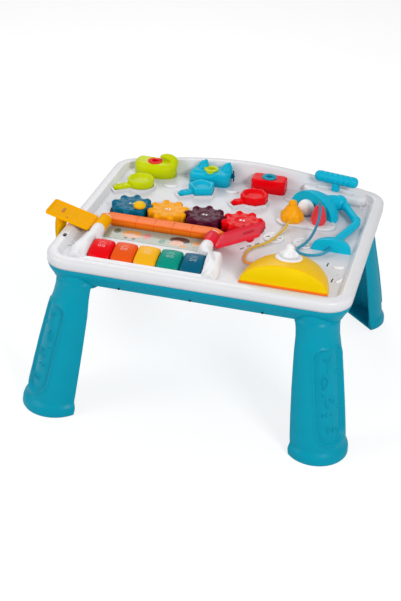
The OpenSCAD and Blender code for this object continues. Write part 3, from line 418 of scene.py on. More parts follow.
def spline(points, each, closed=False):
    """Catmull-Rom curve through the points, each span cut into the given number of steps."""
    p = np.asarray(points, dtype=float)
    if closed:
        p = np.concatenate([p[-1:], p, p[:2]])
    else:
        p = np.concatenate([2 * p[:1] - p[1:2], p, 2 * p[-1:] - p[-2:-1]])
    t = (np.arange(each) / each)[None, :, None]
    a, b, c, d = (p[k : len(p) - 3 + k][:, None] for k in range(4))
    out = 0.5 * (2 * b + (c - a) * t + (2 * a - 5 * b + 4 * c - d) * t**2 + (3 * b - a - 3 * c + d) * t**3)
    out = out.reshape(-1, p.shape[1])
    return out if closed else np.concatenate([out, p[-2:-1]])


def logistic(x, width):
    """Step from 0 to 1 as x goes through 0, about four widths long; past 30 widths it is held."""
    return 1 / (1 + np.exp(np.clip(-x / width, -30, 30)))


def inward(outline):
    """Unit normals of a closed anticlockwise outline, pointing in: the edge direction turned left."""
    d = np.roll(outline, -1, axis=0) - np.roll(outline, 1, axis=0)
    d /= np.linalg.norm(d, axis=1, keepdims=True) + 1e-12
    return np.stack([-d[:, 1], d[:, 0]], axis=-1)


def level_at(top):
    """Height as a function of x and y, from such a function or from a number."""
    return top if callable(top) else lambda x, y: np.full_like(x, float(top))


def walled(outline, bottom, top, edge, steps):
    """Rows up an outline's side and in over its edge, a quarter circle up to the height top(x, y)."""
    n_in = inward(outline)
    rows = [np.column_stack([outline, np.full(len(outline), bottom)])]
    for a in np.linspace(0, np.pi / 2, steps + 1):
        xy = outline + n_in * edge * (1 - np.cos(a))
        rows.append(np.column_stack([xy, top(xy[:, 0], xy[:, 1]) - edge * (1 - np.sin(a))]))
    return rows


def lidded(outline, bottom, top, edge=1.5, steps=5, rings=6, foot=0.0, centre=None):
    """Solid over an outline: a side, an edge rounded to a quarter circle, and a top that follows top(x, y).

    Rings on the top shrink towards the centre in equal shares; foot is a smaller rounding of the bottom edge.
    """
    height = level_at(top)
    middle = outline.mean(axis=0) if centre is None else np.asarray(centre, dtype=float)
    rows = walled(outline, bottom, height, edge, steps)
    if foot:
        under = []
        for a in np.linspace(0, np.pi / 2, 4):
            xy = outline + inward(outline) * foot * (1 - np.sin(a))
            under.append(np.column_stack([xy, np.full(len(xy), bottom + foot * (1 - np.cos(a)))]))
        rows = under + rows[1:]
    last = rows[-1][:, :2]
    for share in np.linspace(1, 0, rings + 1)[1:-1]:
        xy = middle + (last - middle) * share
        rows.append(np.column_stack([xy, height(xy[:, 0], xy[:, 1])]))
    points, faces = capped(np.array(rows))
    points[-1] = [*middle, height(middle[:1], middle[1:2])[0]]
    return points, faces


def place(part, at, axis=(0, 0, 1)):
    """Part whose Z is turned onto the axis by the shortest way, and moved to at."""
    points, faces = part
    m = np.array(Vector((0, 0, 1)).rotation_difference(Vector(axis)).to_matrix())
    return points @ m.T + np.asarray(at, dtype=float), faces


def revolved(profile, at=(0, 0, 0), axis=(0, 0, 1), n=48, lobes=None):
    """Profile of (radius, height) turned about an axis; lobes(angle, height) may scale the radius."""
    p = np.asarray(profile, dtype=float)
    a = np.linspace(0, 2 * np.pi, n, endpoint=False)
    scale = np.ones((len(p), n)) if lobes is None else lobes(a[None, :], p[:, 1][:, None])
    r = p[:, :1] * scale
    rings = np.stack([r * np.cos(a), r * np.sin(a), np.broadcast_to(p[:, 1:], r.shape)], axis=-1)
    return place(capped(rings), at, axis)


def tube(path, radius, n=16, closed=False):
    """Circles carried along a path, turned from one to the next without twist; radius may vary along it.

    Each circle's side is the one before it, less its part along the path.
    """
    p = np.asarray(path, dtype=float)
    d = np.roll(p, -1, axis=0) - np.roll(p, 1, axis=0) if closed else np.gradient(p, axis=0)
    d /= np.linalg.norm(d, axis=1, keepdims=True)
    sides = np.zeros_like(p)
    side = np.cross(d[0], [0, 0, 1.0])
    if np.linalg.norm(side) < 0.1:
        side = np.cross(d[0], [0, 1.0, 0])
    for i, along in enumerate(d):
        side = side - along * np.dot(side, along)
        side /= np.linalg.norm(side)
        sides[i] = side
    ups = np.cross(sides, d)
    a = np.linspace(0, 2 * np.pi, n, endpoint=False)[None, :, None]
    r = np.broadcast_to(np.asarray(radius, dtype=float), (len(p),))[:, None, None]
    rings = p[:, None] + r * (np.cos(a) * sides[:, None] - np.sin(a) * ups[:, None])
    return flipped(*(skin(rings, along=True) if closed else capped(rings)))


def ball(r, at, squash=1.0, n=24, m=12):
    """Ellipsoid of radius r, its height scaled by squash."""
    a = np.linspace(-np.pi / 2, np.pi / 2, m + 1)[1:-1]
    return revolved(np.stack([r * np.cos(a), r * squash * np.sin(a)], axis=-1), at, n=n)


# ---------------------------------------------------------------- tray and casing

ARCH_RISE, ARCH_HALF = 23.0, 194.0


def arch(x, y):
    """Rise of the back rim: a cosine that is 0 at ARCH_HALF to each side, faded in round the back corners."""
    rise = ARCH_RISE * np.cos(np.pi / 2 * np.clip(x / ARCH_HALF, -1, 1)) - 1
    fade = np.clip((y - 150) / 30.0, 0, 1)
    return np.clip(rise, 0, None) * fade * fade * (3 - 2 * fade)


def swept(profile):
    """Closed ring: each profile point (inset, height, share of the arch) carried round the tray's outline."""
    line = rounded_rect(TABLE_W, TABLE_D, CORNER, 24, side=80)
    inset, height, share = (column[:, None] for column in np.array(profile, dtype=float).T)
    xy = line[None] + inset[..., None] * inward(line)[None]
    z = height + share * arch(line[:, 0], line[:, 1])[None]
    return skin(np.concatenate([xy, z[..., None]], axis=-1), along=True)


def bend(inset, height, across, up, start, end, n, share=0.0):
    """Profile points on an ellipse round (inset, height), from one angle to another."""
    a = np.radians(np.linspace(start, end, n))
    return [(i, z, share) for i, z in zip(inset + across * np.cos(a), height + up * np.sin(a))]


def rim_skin():
    """Rim: up the outside, over its round shoulder, across the gently crowned top and down to the field."""
    profile = [(-0.3, SEAM + 0.4, 0.0), (-0.35, SEAM + 3, 0.2), (-0.3, SEAM + 8, 0.55)]
    profile += bend(4.6, RIM - 4.2, -4.9, 4.7, 0, 90, 7, 1.0)
    profile += [(8.0, RIM + 0.75, 1.0), (11.5, RIM + 0.6, 1.0)]
    profile += bend(12.6, RIM - 3.0, 3.6, 3.6, 80, 25, 5, 1.0)
    profile += [(18.6, FIELD + 3.4, 0.35), (20.4, FIELD + 1.1, 0.04), (21.5, FIELD + 0.4, 0.0)]
    profile += [(22.2, FIELD + 0.12, 0.0), (22.2, FIELD - 1.0, 0.0), (4.0, FIELD - 1.0, 0.0)]
    profile += [(3.0, SEAM + 0.4, 0.0)]
    build("rim_skin", swept(profile), "tray", "table")


def casing_skin():
    """Casing from the seam down: a small step under the tray, a full side and a round turn at the bottom."""
    profile = [(1.6, SEAM - 0.2, 0), (0.9, SEAM - 1.0, 0), (0.75, SEAM - 4, 0), (2.6, SEAM - 9, 0)]
    profile += [(6.2, SEAM - 15, 0)]
    profile += bend(15.6, BASE + 5.8, -6.6, -6.05, 10, 90, 7)
    profile += [(21, BASE - 0.25, 0), (21, BASE + 1.0, 0), (5, SEAM - 0.2, 0)]
    build("casing_skin", swept(profile[::-1]), "teal", "table")


# ---------------------------------------------------------------- piano keys

KEY_COLOURS = ("red", "key_orange", "key_yellow", "green", "navy")
KEY_SLOTS = ("red_plastic", "orange_plastic", "amber_plastic", "green_plastic", "dark_teal_plastic")
KEY_FRONT, KEY_BACK, KEY_X, KEY_PITCH = -149.5, -112.0, -79.5, 34.0
KEY_HALF, KEY_FOOT = 16.4, 220.0
KEY_LOW, KEY_RISE, KEY_CROWN = FIELD + 0.6, 9.8, 1.8
PRINT_RINGS_Y, PRINT_RING_R, PRINT_APART, RING_PEN = -131.0, 1.9, 2.9, 0.2
PRINT_BARS, BAR_PEN = ((-122.5, 4.0), (-125.8, 6.0)), 0.15  # place and half length of each bar


def key_height(x, y, middle):
    """Height of a key's top: a quarter sine from the front edge to the back, and a slow crown across it."""
    t = np.clip((y - KEY_FRONT) / (KEY_BACK - KEY_FRONT), 0, 1)
    return KEY_LOW + KEY_RISE * np.sin(np.pi / 2 * t**0.8) + KEY_CROWN * (1 - ((x - middle) / 16.5) ** 2)


def key_cap(x):
    """Pillowed key with a skirt down to the casing; its front edge bulges by a square across it."""
    middle_y = (KEY_FRONT + KEY_BACK) / 2
    line = rounded_rect(2 * KEY_HALF, KEY_BACK - KEY_FRONT - 0.2, 3.6, 6, at=(x, middle_y), side=14)
    swell = 1 - np.clip(np.abs(line[:, 0] - x) / KEY_HALF, 0, 1) ** 2
    line[:, 1] += np.where(line[:, 1] < middle_y - 15, 0.8 - 2.9 * swell, 0)
    return lidded(line, KEY_FOOT, lambda a, b: key_height(a, b, x), edge=4.2, steps=8, rings=14)


def key_print(x):
    """Two printed rings under two fine bars, laid on the key's top."""
    marks = []
    for dx in (-PRINT_APART, PRINT_APART):
        ring = circle(PRINT_RING_R, 20, (x + dx, PRINT_RINGS_Y))
        marks.append(tube(np.column_stack([ring, key_height(*ring.T, x) + 0.02]), RING_PEN, 6, closed=True))
    for y, half in PRINT_BARS:
        bar = np.column_stack([np.linspace(x - half, x + half, 9), np.full(9, y)])
        marks.append(tube(np.column_stack([bar, key_height(*bar.T, x) - 0.05]), BAR_PEN, 6))
    return marks


def piano_keys():
    """Five keys in a row, each with its print."""
    for i, (colour, slot) in enumerate(zip(KEY_COLOURS, KEY_SLOTS), start=1):
        x = KEY_X + (i - 3) * KEY_PITCH
        body = f"piano_key_{i}"
        build(body + "_cap", key_cap(x), colour, body, [body])
        build(body + "_print", key_print(x), "print_ink", body)


# ---------------------------------------------------------------- gears

GEARS = {
    "teal_gear": ("deep_teal", "dark_teal_plastic"),
    "amber_gear": ("amber", "amber_plastic"),
    "maroon_gear": ("maroon", "maroon_plastic"),
    "red_gear": ("red", "red_plastic"),
}
GEAR_STEP, GEAR_MIDDLE_X, GEAR_Y = 57.6, -59.8, 9.0
GEAR_TOP, GEAR_FOOT, GEAR_TEETH, GEAR_R = 242.0, 223.0, 8, 28.6
LOBE_SHARE = 0.95  # of half a tooth's angle; the valley has the rest
HUB_R, DIMPLE_R, BUMP_R = 9.5, 19.5, 26.8
HUB_SUNK, DIMPLE_SUNK, BUMP_RISE = 1.2, 1.3, 2.4
EYE_R, EYE_APART, EYE_UP = 1.75, 2.4, GEAR_TOP - 1.2
CRANK_AT = (-130.2, -4.0, GEAR_TOP)


def gear_line(steps=9):
    """Tooth outline: arcs of a small circle rolled outside the pitch circle, for lobes, and inside it."""
    half = math.pi / GEAR_TEETH
    q = GEAR_R / (2 * GEAR_TEETH)
    a = half * np.arange(steps) / steps
    out = []
    for t in range(GEAR_TEETH):
        for s, share, start in ((1, LOBE_SHARE, -half), (-1, 2 - LOBE_SHARE, half)):
            k = GEAR_R + s * q
            x, y = k * np.cos(a) - s * q * np.cos(k / q * a), k * np.sin(a) - q * np.sin(k / q * a)
            angle = np.arctan2(y, x) * share + 2 * half * t + start * LOBE_SHARE / 2
            radius = np.hypot(x, y)
            out.append(np.stack([radius * np.cos(angle), radius * np.sin(angle)], axis=-1))
    return np.concatenate(out)


def gear_height(x, y):
    """Flat top with a sunk hub, and on each lobe a soft bump and a dimple inside it, both bell curves."""
    r, a = np.hypot(x, y), np.arctan2(y, x)
    lobe = np.cos(GEAR_TEETH * a) * 0.5 + 0.5
    hub = logistic(HUB_R - r, 0.7)
    bump = BUMP_RISE * np.exp(-(((r - BUMP_R) / 2.6) ** 2)) * lobe**3
    dimple = DIMPLE_SUNK * np.exp(-(((r - DIMPLE_R) / 2.2) ** 2)) * lobe**4
    return GEAR_TOP - 1.0 - HUB_SUNK * hub + bump - dimple


def gears():
    """Four lobed gears, every other one turned by half a tooth, each with two white dots on its hub."""
    points, faces = lidded(gear_line(), GEAR_FOOT, gear_height, edge=2.4, steps=6, rings=18, centre=(0, 0))
    for i, (name, (colour, slot)) in enumerate(GEARS.items()):
        x = GEAR_MIDDLE_X + (i - 1.5) * GEAR_STEP
        wheel = turned(points, i % 2 * 180 / GEAR_TEETH) + [x, GEAR_Y, 0]
        build(name + "_wheel", (wheel, faces), colour, name, [name])
        eyes = [ball(EYE_R, (x + dx, GEAR_Y - 1.0, EYE_UP), 0.75, 20, 10) for dx in (-EYE_APART, EYE_APART)]
        build(name + "_eyes", eyes, "bright_white", name)


def crank():
    """Round knob that turns the first gear."""
    knob = [(3.2, -4), (3.2, 0), (7.2, 0.4), (8.6, 1.4), (9.3, 3.0), (9.4, 4.6), (8.8, 6.6), (7.2, 8.2),
            (4.5, 9.2), (1.6, 9.6)]
    build("crank_cap", revolved(knob, CRANK_AT), "yellow", "teal_gear", ["crank_knob"])


# ---------------------------------------------------------------- locks

BUSHES = {"lime": (-153.0, 152.0), "blue": (-59.0, 152.0), "red": (36.0, 153.0)}
LOCK_TOP, LOCK_FOOT = 250.0, FIELD - 0.5
HOLE_R, HOLE_DEEP = 10.4, 12.0
LIME_LINE = [(-186, 152), (-181, 141), (-168, 134), (-152, 133), (-136, 134.5), (-123, 141), (-117.5, 152),
             (-120, 163), (-128, 168), (-145, 168.2), (-165, 168.2), (-178, 168), (-185, 162)]
LIME_TAIL = [(-124, 148, 242), (-123, 156, 247.5), (-125, 161.5, 251.5), (-131, 163.5, 254.5),
             (-138, 163.5, 255.5), (-144, 162.5, 255)]
BLUE_LINE = [(-92.4, 150), (-91, 140), (-84, 135.5), (-68, 134.6), (-50, 135), (-36, 135.5), (-28.5, 139),
             (-26, 149), (-29, 160), (-36, 167), (-50, 168.2), (-66, 168.2), (-82, 168), (-91, 161)]
BLUE_RIB = [(-91.2, 143), (-87, 137.2), (-80, 135.0), (-68, 134.4), (-58, 134.7)]
FIN_X, RIB_UP = (-73, -34.5), (8, 12.5)
RED_SIZE, RED_CORNER, RED_AT = (55, 29.5), 6.5, (36.5, 153.2)
PROPELLER_AT, PROPELLER_AXIS = (-33, 157, 240), (math.cos(0.35), math.sin(0.35), 0)


def holed(outline, top, edge, middle, steps=6, rings=10):
    """Lock body with a round hole: rings of the top move from the outline to the circle, then go down it."""
    height = level_at(top)
    angle = np.arctan2(outline[:, 1] - middle[1], outline[:, 0] - middle[0])
    hole = np.stack([middle[0] + HOLE_R * np.cos(angle), middle[1] + HOLE_R * np.sin(angle)], axis=-1)
    rows = walled(outline, LOCK_FOOT, height, edge, steps)
    last = rows[-1][:, :2]
    for share in np.linspace(1, 0, rings + 1)[1:]:
        xy = hole + (last - hole) * share
        rows.append(np.column_stack([xy, height(xy[:, 0], xy[:, 1])]))
    rows.append(np.column_stack([hole, np.full(len(hole), LOCK_TOP - HOLE_DEEP)]))
    return capped(np.array(rows))


def tapered(path, stops, radii, n):
    """Tube along a spline, whose radius goes from one of the radii to the next at the stops along it."""
    line = spline(path, 6)
    return tube(line, np.interp(np.linspace(0, 1, len(line)), stops, radii), n)


def lime_lock():
    """Round lock body with a curled tail; its level top is raised at the back left and falls at the front."""
    def top(x, y):
        back = np.clip((y - 150) / 18, -1, 1)
        raised = 3.0 * np.clip(back, 0, 1) ** 1.5 * np.clip((-x - 136) / 20, 0, 1)
        return LOCK_TOP + 0.4 + raised - 1.6 * np.clip(-back, 0, 1) ** 2

    body = holed(spline(LIME_LINE, 8, closed=True), top, 7.5, BUSHES["lime"], steps=9)
    curl = tapered(LIME_TAIL, [0, 0.3, 0.75, 1], [7.0, 7.2, 5.4, 3.4], 18)
    tip = ball(3.4, LIME_TAIL[-1], 1.0, 18, 10)
    build("lime_lock_body", [body, curl, tip], "lime", "table", ["lime_lock"])


def blue_lock():
    """Lock body with two fins and two ribs round a corner; logistic steps lower its top at the front left."""
    def top(x, y):
        step = logistic(y - 142.5, 0.8) * logistic(x + 87, 1.0)
        return LOCK_TOP - 4.5 + 4.0 * np.maximum(step, logistic(x + 52, 1.5))

    parts = [holed(spline(BLUE_LINE, 8, closed=True), top, 3.0, BUSHES["blue"], rings=16)]
    for x in FIN_X:
        path = [(x - 2.5, 158, 238), (x - 1, 160.5, 248), (x + 1, 162, 255), (x + 2.4, 162.5, 258.6)]
        parts.append(tapered(path, [0, 0.5, 0.88, 1], [11.0, 8.6, 5.2, 3.0], 22))
        parts.append(ball(3.0, path[-1], 1.0, 22, 10))
    for up in RIB_UP:
        parts.append(tube(spline([(x, y, FIELD + up) for x, y in BLUE_RIB], 8), 1.0, 10))
    build("blue_lock_body", parts, "cyan", "table", ["blue_lock"])


def red_lock():
    """Box-shaped lock body with a level top."""
    line = rounded_rect(*RED_SIZE, RED_CORNER, 8, at=RED_AT, side=10)
    body = holed(line, LOCK_TOP - 0.3, 3.2, BUSHES["red"])
    build("red_lock_body", body, "red", "table", ["red_lock"])


def propeller():
    """Four blades on a round hub, on the side of the blue lock."""
    points, faces = lidded(stadium(8.5, 3.6, 6, at=(4.6, 0)), 8.8, 11.0, edge=0.9, rings=3)
    parts = [revolved([(4.0, 0), (4.0, 9), (8.5, 10), (2, 10.2)])]
    parts += [(turned(points, a), faces) for a in (0, 90, 180, 270)]
    placed = [place(part, PROPELLER_AT, PROPELLER_AXIS) for part in parts]
    build("propeller_blades", placed, "deep_teal", "table", ["propeller"])


# ---------------------------------------------------------------- keys of the locks

CHUNKY_TURN, CHUNKY_FOOT, BLADE_TOP = 220.0, 228.4, 237.3
BOW_TOP, BOW_SUNK, BOW_BORDER = 243.2, 4.6, 6.0
CHUNKY_KEYS = {  # middle, sides of the bow (0 if round), its reach, the blade's length and half width, finish
    "lime": ((-160, 98), 0, 21.0, 46.0, 6.5, "lime", "lime_plastic"),
    "blue": ((-62, 107), 5, 18.0, 40.0, 6.0, "cyan", "blue_plastic"),
    "red": ((24, 101), 8, 20.5, 39.0, 6.5, "red", "red_plastic"),
}


def rounded_polygon(sides, r, corner, n=6):
    """Regular polygon whose flats are r from the middle and whose corners are arcs of the given radius."""
    reach = (r - corner) / math.cos(math.pi / sides)
    arcs = []
    for k in range(sides):
        a = 2 * math.pi * (k + 0.5) / sides
        b = np.linspace(a - math.pi / sides, a + math.pi / sides, n)
        arcs.append(reach * np.array([math.cos(a), math.sin(a)])
                    + corner * np.stack([np.cos(b), np.sin(b)], axis=-1))
    return strung(arcs, 3)


def bow_height(x, y, r):
    """Height of a key's bow: a logistic step of the distance from its middle sinks it within r."""
    return BOW_TOP - BOW_SUNK * logistic(r - np.hypot(x, y), 0.7)


def chunky_keys():
    """Keys lying in their cradles: a bow with a raised border, a thick rounded blade and two low bits.

    A square crowns the blade across.
    """
    for name, (at, sides, r, blade, half, colour, slot) in CHUNKY_KEYS.items():
        bow = rounded_polygon(sides, r, 3.5) if sides else circle(r, 64)
        head = lidded(bow, CHUNKY_FOOT, lambda x, y: bow_height(x, y, r - BOW_BORDER),
                      edge=2.4, steps=6, rings=14, centre=(0, 0))
        raw = [(0, -half), (blade - 7, -half), (blade, -1.6), (blade, 1.6), (blade - 7, half), (0, half)]
        bar = lidded(cut_corners(raw, 1.8, 10), CHUNKY_FOOT, lambda x, y: BLADE_TOP - 0.25 * (y / half) ** 2,
                     edge=2.2, steps=5, rings=5)
        bits = [lidded(stadium(7, 3.6, 6, at=(blade - back, 0), turn=90), 237, 238.2, edge=0.6, rings=3)
                for back in (6, 14)]
        points, faces = joined(head, bar, *bits)
        key = name + "_key"
        build(key + "_body", (turned(points, CHUNKY_TURN) + [*at, 0], faces), colour, key, [key])


# ---------------------------------------------------------------- flaps

FLAPS = {  # the way it opens, its hinge's X, its opening in the photograph, finishes and slot
    "left": (-1, -168.5, 15.5, "flap_amber", "amber_shade", "amber_plastic"),
    "right": (1, -3.5, 26.0, "pink", "crimson", "pink_plastic"),
}
HINGE_Y, HINGE_UP = -68, 238
LID_MIDDLE, LID_L, LID_D = 47.1, 70.2, 44
LID_FOOT, LID_SUNK_UP, LID_EDGE_RISE = -6.5, -3.4, 1.6  # heights from the hinge's middle
TAB_LINE = [(54.6, -10.5), (66.5, -10.5), (67, -18), (65.5, -28), (61.5, -42), (57.5, -53.2), (55.6, -53.4),
            (53.8, -40), (53.2, -24)]


def on_flap(side):
    """Turns points from a flap's own frame (outwards, back, up off the plate) to the table's."""
    s, x, opened = FLAPS[side][:3]
    c, n = math.cos(math.radians(opened)), math.sin(math.radians(opened))

    def turn(points):
        u, v, w = points.T
        return np.stack([x + s * (u * c - w * n), HINGE_Y + v, HINGE_UP + u * n + w * c], axis=-1)

    return turn


def flap_lid(side):
    """Lid, barrel with rounded ends, neck between them and stop under the lid; a hanging tab on the left one.

    The lid's edge rises above its middle by a logistic step of the distance from the edge, and the
    right lid has a low line round its middle, a bell curve of the same distance.
    """
    def top(x, y):
        out = np.maximum(np.abs(x - LID_MIDDLE) - LID_L / 2, np.abs(y) - LID_D / 2)
        rim = logistic(out + 2.6, 0.35)
        border = 0.45 * np.exp(-(((out + 6.5) / 0.6) ** 2)) if side == "right" else 0.0
        return LID_SUNK_UP + LID_EDGE_RISE * rim + border

    lid_line = rounded_rect(LID_L, LID_D, 4.0, 8, at=(LID_MIDDLE, 0), side=22)
    lid = lidded(lid_line, LID_FOOT, top, edge=0.9, steps=4, rings=26, foot=0.8)
    barrel = revolved([(8.3, 0), (9.15, 0.35), (9.5, 1.2), (9.5, 28.4), (9.15, 29.3), (8.3, 29.7)], n=40)
    neck = lidded(rounded_rect(12, 29.6, 1.5, 4, at=(9, 3.2)), -6.4, -2.2, edge=0.8, rings=3)
    stop = revolved([(5.6, 0), (6.6, 0.5), (7, 1.4), (7, 8.6), (6.6, 9.5), (5.6, 10)], n=32)
    parts = [lid, place(barrel, (0, -11.6, 0), (0, 1, 0)), neck, place(stop, (60, -5, -10.8), (0, 1, 0))]
    if side == "left":
        points, faces = lidded(spline(TAB_LINE, 6, closed=True), -4, 4, edge=1.2, rings=5, foot=1.2)
        parts.append(flipped(points[:, [0, 2, 1]], faces))
    return parts


def flap_trims(side):
    """Slot mark on the lid, a darker patch that paints the shade inside a slot, with a dot on the left one,
    and a rim, a lip and a line on the right one.
    """
    if side == "left":
        # painted shade: the first, darker stadium is the slot mark, for the inside of a slot
        return [lidded(stadium(14, 4.6, 6, at=(61, 1), turn=90), -3.6, -3.0, edge=0.2, rings=3),
                lidded(stadium(2.6, 2.6, 6, at=(50, -14)), -3.6, -3.1, edge=0.2, rings=3)]
    line = stadium(17.5, 8, 8, at=(61, 1), turn=4)
    # painted shade: the first, darker stadium is the slot mark, for the inside of a slot
    return [lidded(stadium(14, 4.6, 6, at=(61, 1), turn=4), -3.6, -3.0, edge=0.2, rings=3),
            lidded(rounded_rect(66, 2.6, 1.2, 5, at=(48, 23.1), side=12), -6.6, -1.7, edge=0.6, rings=3),
            lidded(rounded_rect(20, 6, 1.5, 5, at=(70, 20), side=6), -11.5, -6.2, edge=0.8, rings=3),
            tube(np.column_stack([line, np.full(len(line), -3.3)]), 0.45, 8, closed=True)]


def flaps():
    """Both flaps with their trims; the left one is mirrored, so its faces are turned over."""
    for side, (s, _, _, colour, trim, slot) in FLAPS.items():
        name = side + "_flap"
        for ending, parts, finish, replaces in (("_lid", flap_lid(side), colour, [name]),
                                                ("_trim", flap_trims(side), trim, [])):
            parts = [flipped(*part) for part in parts] if s < 0 else parts
            build(name + ending, parts, finish, name, replaces, turn=on_flap(side))


# ---------------------------------------------------------------- light bar

BAR_AT = np.array([-85.0, -36.0])
BAR_SPLIT, BAR_TOP, BAR_CROWN = 236.0, 239.1, 0.5
BAR_SEAM_X, BAR_SEAM_STEP, BAR_SEAMS = -123.4, 28.3, 5
BAR_SEAM_PATH = [(-26.0, 238.6), (-31, 239.5), (-36, 239.7), (-41, 239.5), (-45.6, 238.9), (-47.1, 237.6),
             (-47.5, 235), (-47.6, 229)]


def bar_line(half, tip, deep):
    """Outline of the bar: a long hexagon with small rounded corners."""
    raw = [(-tip, 0), (-half, -deep), (half, -deep), (tip, 0), (half, deep), (-half, deep)]
    return cut_corners(raw, 2.0, 17) + BAR_AT


def light_bar():
    """Coral cover, crowned across by a square, on an orange frame, and fine seams over both."""
    def top(x, y):
        return BAR_TOP + BAR_CROWN * (1 - ((y - BAR_AT[1]) / 11) ** 2)

    cover = lidded(bar_line(81, 95.5, 11.2), BAR_SPLIT, top, edge=1.2, steps=5, rings=8)
    build("light_bar_cover", cover, "coral", "table", ["light_bar_lens"])
    under = lidded(bar_line(81.5, 96.5, 11.5), FIELD - 0.2, BAR_SPLIT + 0.2, edge=0.5, rings=3)
    build("light_bar_body", under, "orange", "table", ["light_bar_frame"])
    seams = []
    for k in range(BAR_SEAMS):
        path = [(BAR_SEAM_X + BAR_SEAM_STEP * k, y, z) for y, z in BAR_SEAM_PATH]
        seams.append(tube(spline(path, 3), 0.32, 8))
    build("light_bar_seams", seams, "seam", "table")


# ---------------------------------------------------------------- dome and knob

DOME_X, DOME_Y = 123.0, -154.0
DOME_HALF, DOME_DEEP, DOME_H = 62.5, 84.0, 34.5
DISC_BACK, DISC_TILT = 32.0, 9.0
DISC_AXIS = (0, math.sin(math.radians(DISC_TILT)), math.cos(math.radians(DISC_TILT)))
DISC_AT = (DOME_X, DOME_Y + DISC_BACK, FIELD + DOME_H * math.sqrt(1 - (DISC_BACK / DOME_DEEP) ** 2) - 1)


def half_dome(a, b, c, at, rows, cols, edge, square=1.0):
    """Half an ellipsoid behind a flat front, as rings from the front edge's ridge to the rear of the base.

    A point is (a cos t, b sin t sin p, c sin t cos p), with t from 0 to pi across and p from 0 (up) to pi/2
    (back). The front is closed flat with a small rounded edge. A power below 1 on the heights' sine squares
    the shoulders.
    """
    t = np.linspace(0, np.pi, cols)[None, :]
    lift = np.sin(t) ** square
    p = np.linspace(0, np.pi / 2, rows)[:, None]
    shell = np.stack([-a * np.cos(t) + 0 * p, b * np.sin(t) * np.sin(p), c * lift * np.cos(p)], axis=-1)
    front = []
    for k in np.linspace(np.pi / 2, 0, 5):
        inset = edge * (1 - math.sin(k))
        across, up = -(a - inset) * np.cos(t[0]), np.maximum((c - inset) * lift[0], 0)
        front.append(np.stack([across, np.full(cols, -edge * math.cos(k)), up], axis=-1))
    flat = [front[-1] * [s, 1, s] for s in (0.75, 0.5, 0.25, 0.0)]
    points, faces = skin(np.array(flat[::-1] + front[::-1] + list(shell[1:])), around=False)
    return points + np.asarray(at), faces


def dome():
    """Yellow half dome, its front plate coloured brighter and yellower than the dome as painted light on its
    upright face, and the orange strip under it.
    """
    at = (DOME_X, DOME_Y + 1.2, FIELD)
    shell = half_dome(DOME_HALF + 0.3, DOME_DEEP + 0.2, DOME_H + 0.3, at, 30, 60, 1.3)
    build("dome_shell", shell, "yellow", "table")
    a = np.linspace(0.0, np.pi, 61)
    line = np.stack([(DOME_HALF - 1.2) * np.cos(a), (DOME_H - 1.3) * np.sin(a)], axis=-1)
    line = line[line[:, 1] > 3.3]
    base = np.stack([np.linspace(line[-1, 0], line[0, 0], 26)[1:-1], np.full(24, 3.3)], axis=-1)
    points, faces = lidded(np.concatenate([line, base]), 0.0, 1.0, edge=0.7, rings=8, centre=(0, 14))
    points = np.stack([points[:, 0], -points[:, 2], points[:, 1]], axis=-1) + [DOME_X, DOME_Y, FIELD]
    # painted light: the front plate takes a brighter yellow than the dome's shell, for light on its upright
    # face
    build("dome_front", (points, faces), "dome_front_lit_yellow", "table")
    strip_line = rounded_rect(2 * DOME_HALF + 0.4, 3.4, 1.4, 5, at=(DOME_X, DOME_Y - 0.2), side=20)
    strip = lidded(strip_line, FIELD - 0.1, FIELD + 3.4, edge=0.9, rings=3)
    build("dome_rail", strip, "orange", "table", ["dome_strip"])


def dome_crown():
    """White disc on the dome and the knob on it, whose skirt has six lobes by a cosine of the angle."""
    disc = [(6.2, 0), (18, 0.0), (18.9, 0.9), (19.2, 2.2), (18.6, 3.1), (17.2, 3.3), (13, 2.9), (6.4, 2.9)]
    part = revolved(disc, DISC_AT, DISC_AXIS, 64)
    build("dome_disc", part, "bright_white", "table", ["dome_plate"])
    knob = [(5.9, 0.2), (5.9, 3.4), (10.6, 3.5), (11.3, 4.6), (11.6, 6.5), (11.2, 8.8), (9.6, 11),
            (7.6, 12.4), (6.4, 13.6), (5.9, 16), (5.7, 18), (5.0, 19.8), (3.4, 20.9), (1.2, 21.3)]

    def lobes(angle, z):
        return 1 + 0.16 * np.cos(6 * angle) * np.clip((z - 3.4) / 2, 0, 1) * np.clip((12 - z) / 4, 0, 1)

    part = revolved(knob, DISC_AT, DISC_AXIS, 72, lobes)
    build("dome_crown", part, "bright_white", "dome_knob", ["dome_knob"])


# ---------------------------------------------------------------- lamp

HOOD_AT, HOOD_TURN = (117.4, 87.0, FIELD), 327.2
HOOD_HALF, HOOD_DEEP, HOOD_H, HOOD_EDGE = 44, 40, 37.5, 1.3
HOLLOW_HALF, HOLLOW_DEEP, HOLLOW_H = 29.0, 27, 21.5
LAMP_FOOT_R, LAMP_FOOT_H, ARM_R, JOINT_R, BULB_R = 29.0, 19.6, 6.1, 12.0, 12.8
LAMP_FOOT_AT, LAMP_JOINT_AT, BULB_AT = (167.6, -24.0, FIELD), (156, 113, 243), (109, 83.5, FIELD + 13)
ARM_PATH = [(170, -6, 235.0), (173.5, 8, 235.0), (180.5, 30, 235.0), (186.8, 50, 235.2), (190.2, 62, 235.6),
            (190.2, 68.5, 236.2), (186, 76, 237.4), (174.5, 94, 240), (164.5, 109, 242), (156, 119, 243)]
ARM_COLLARS = (0.62, 0.86)
HOOD_NECK_PATH = [(124, 96, 243), (134, 101, 244.5), (146, 108, 244), (158, 115, 242)]
HOOD_NECK_R = [11, 11.5, 11.8, 11.0]


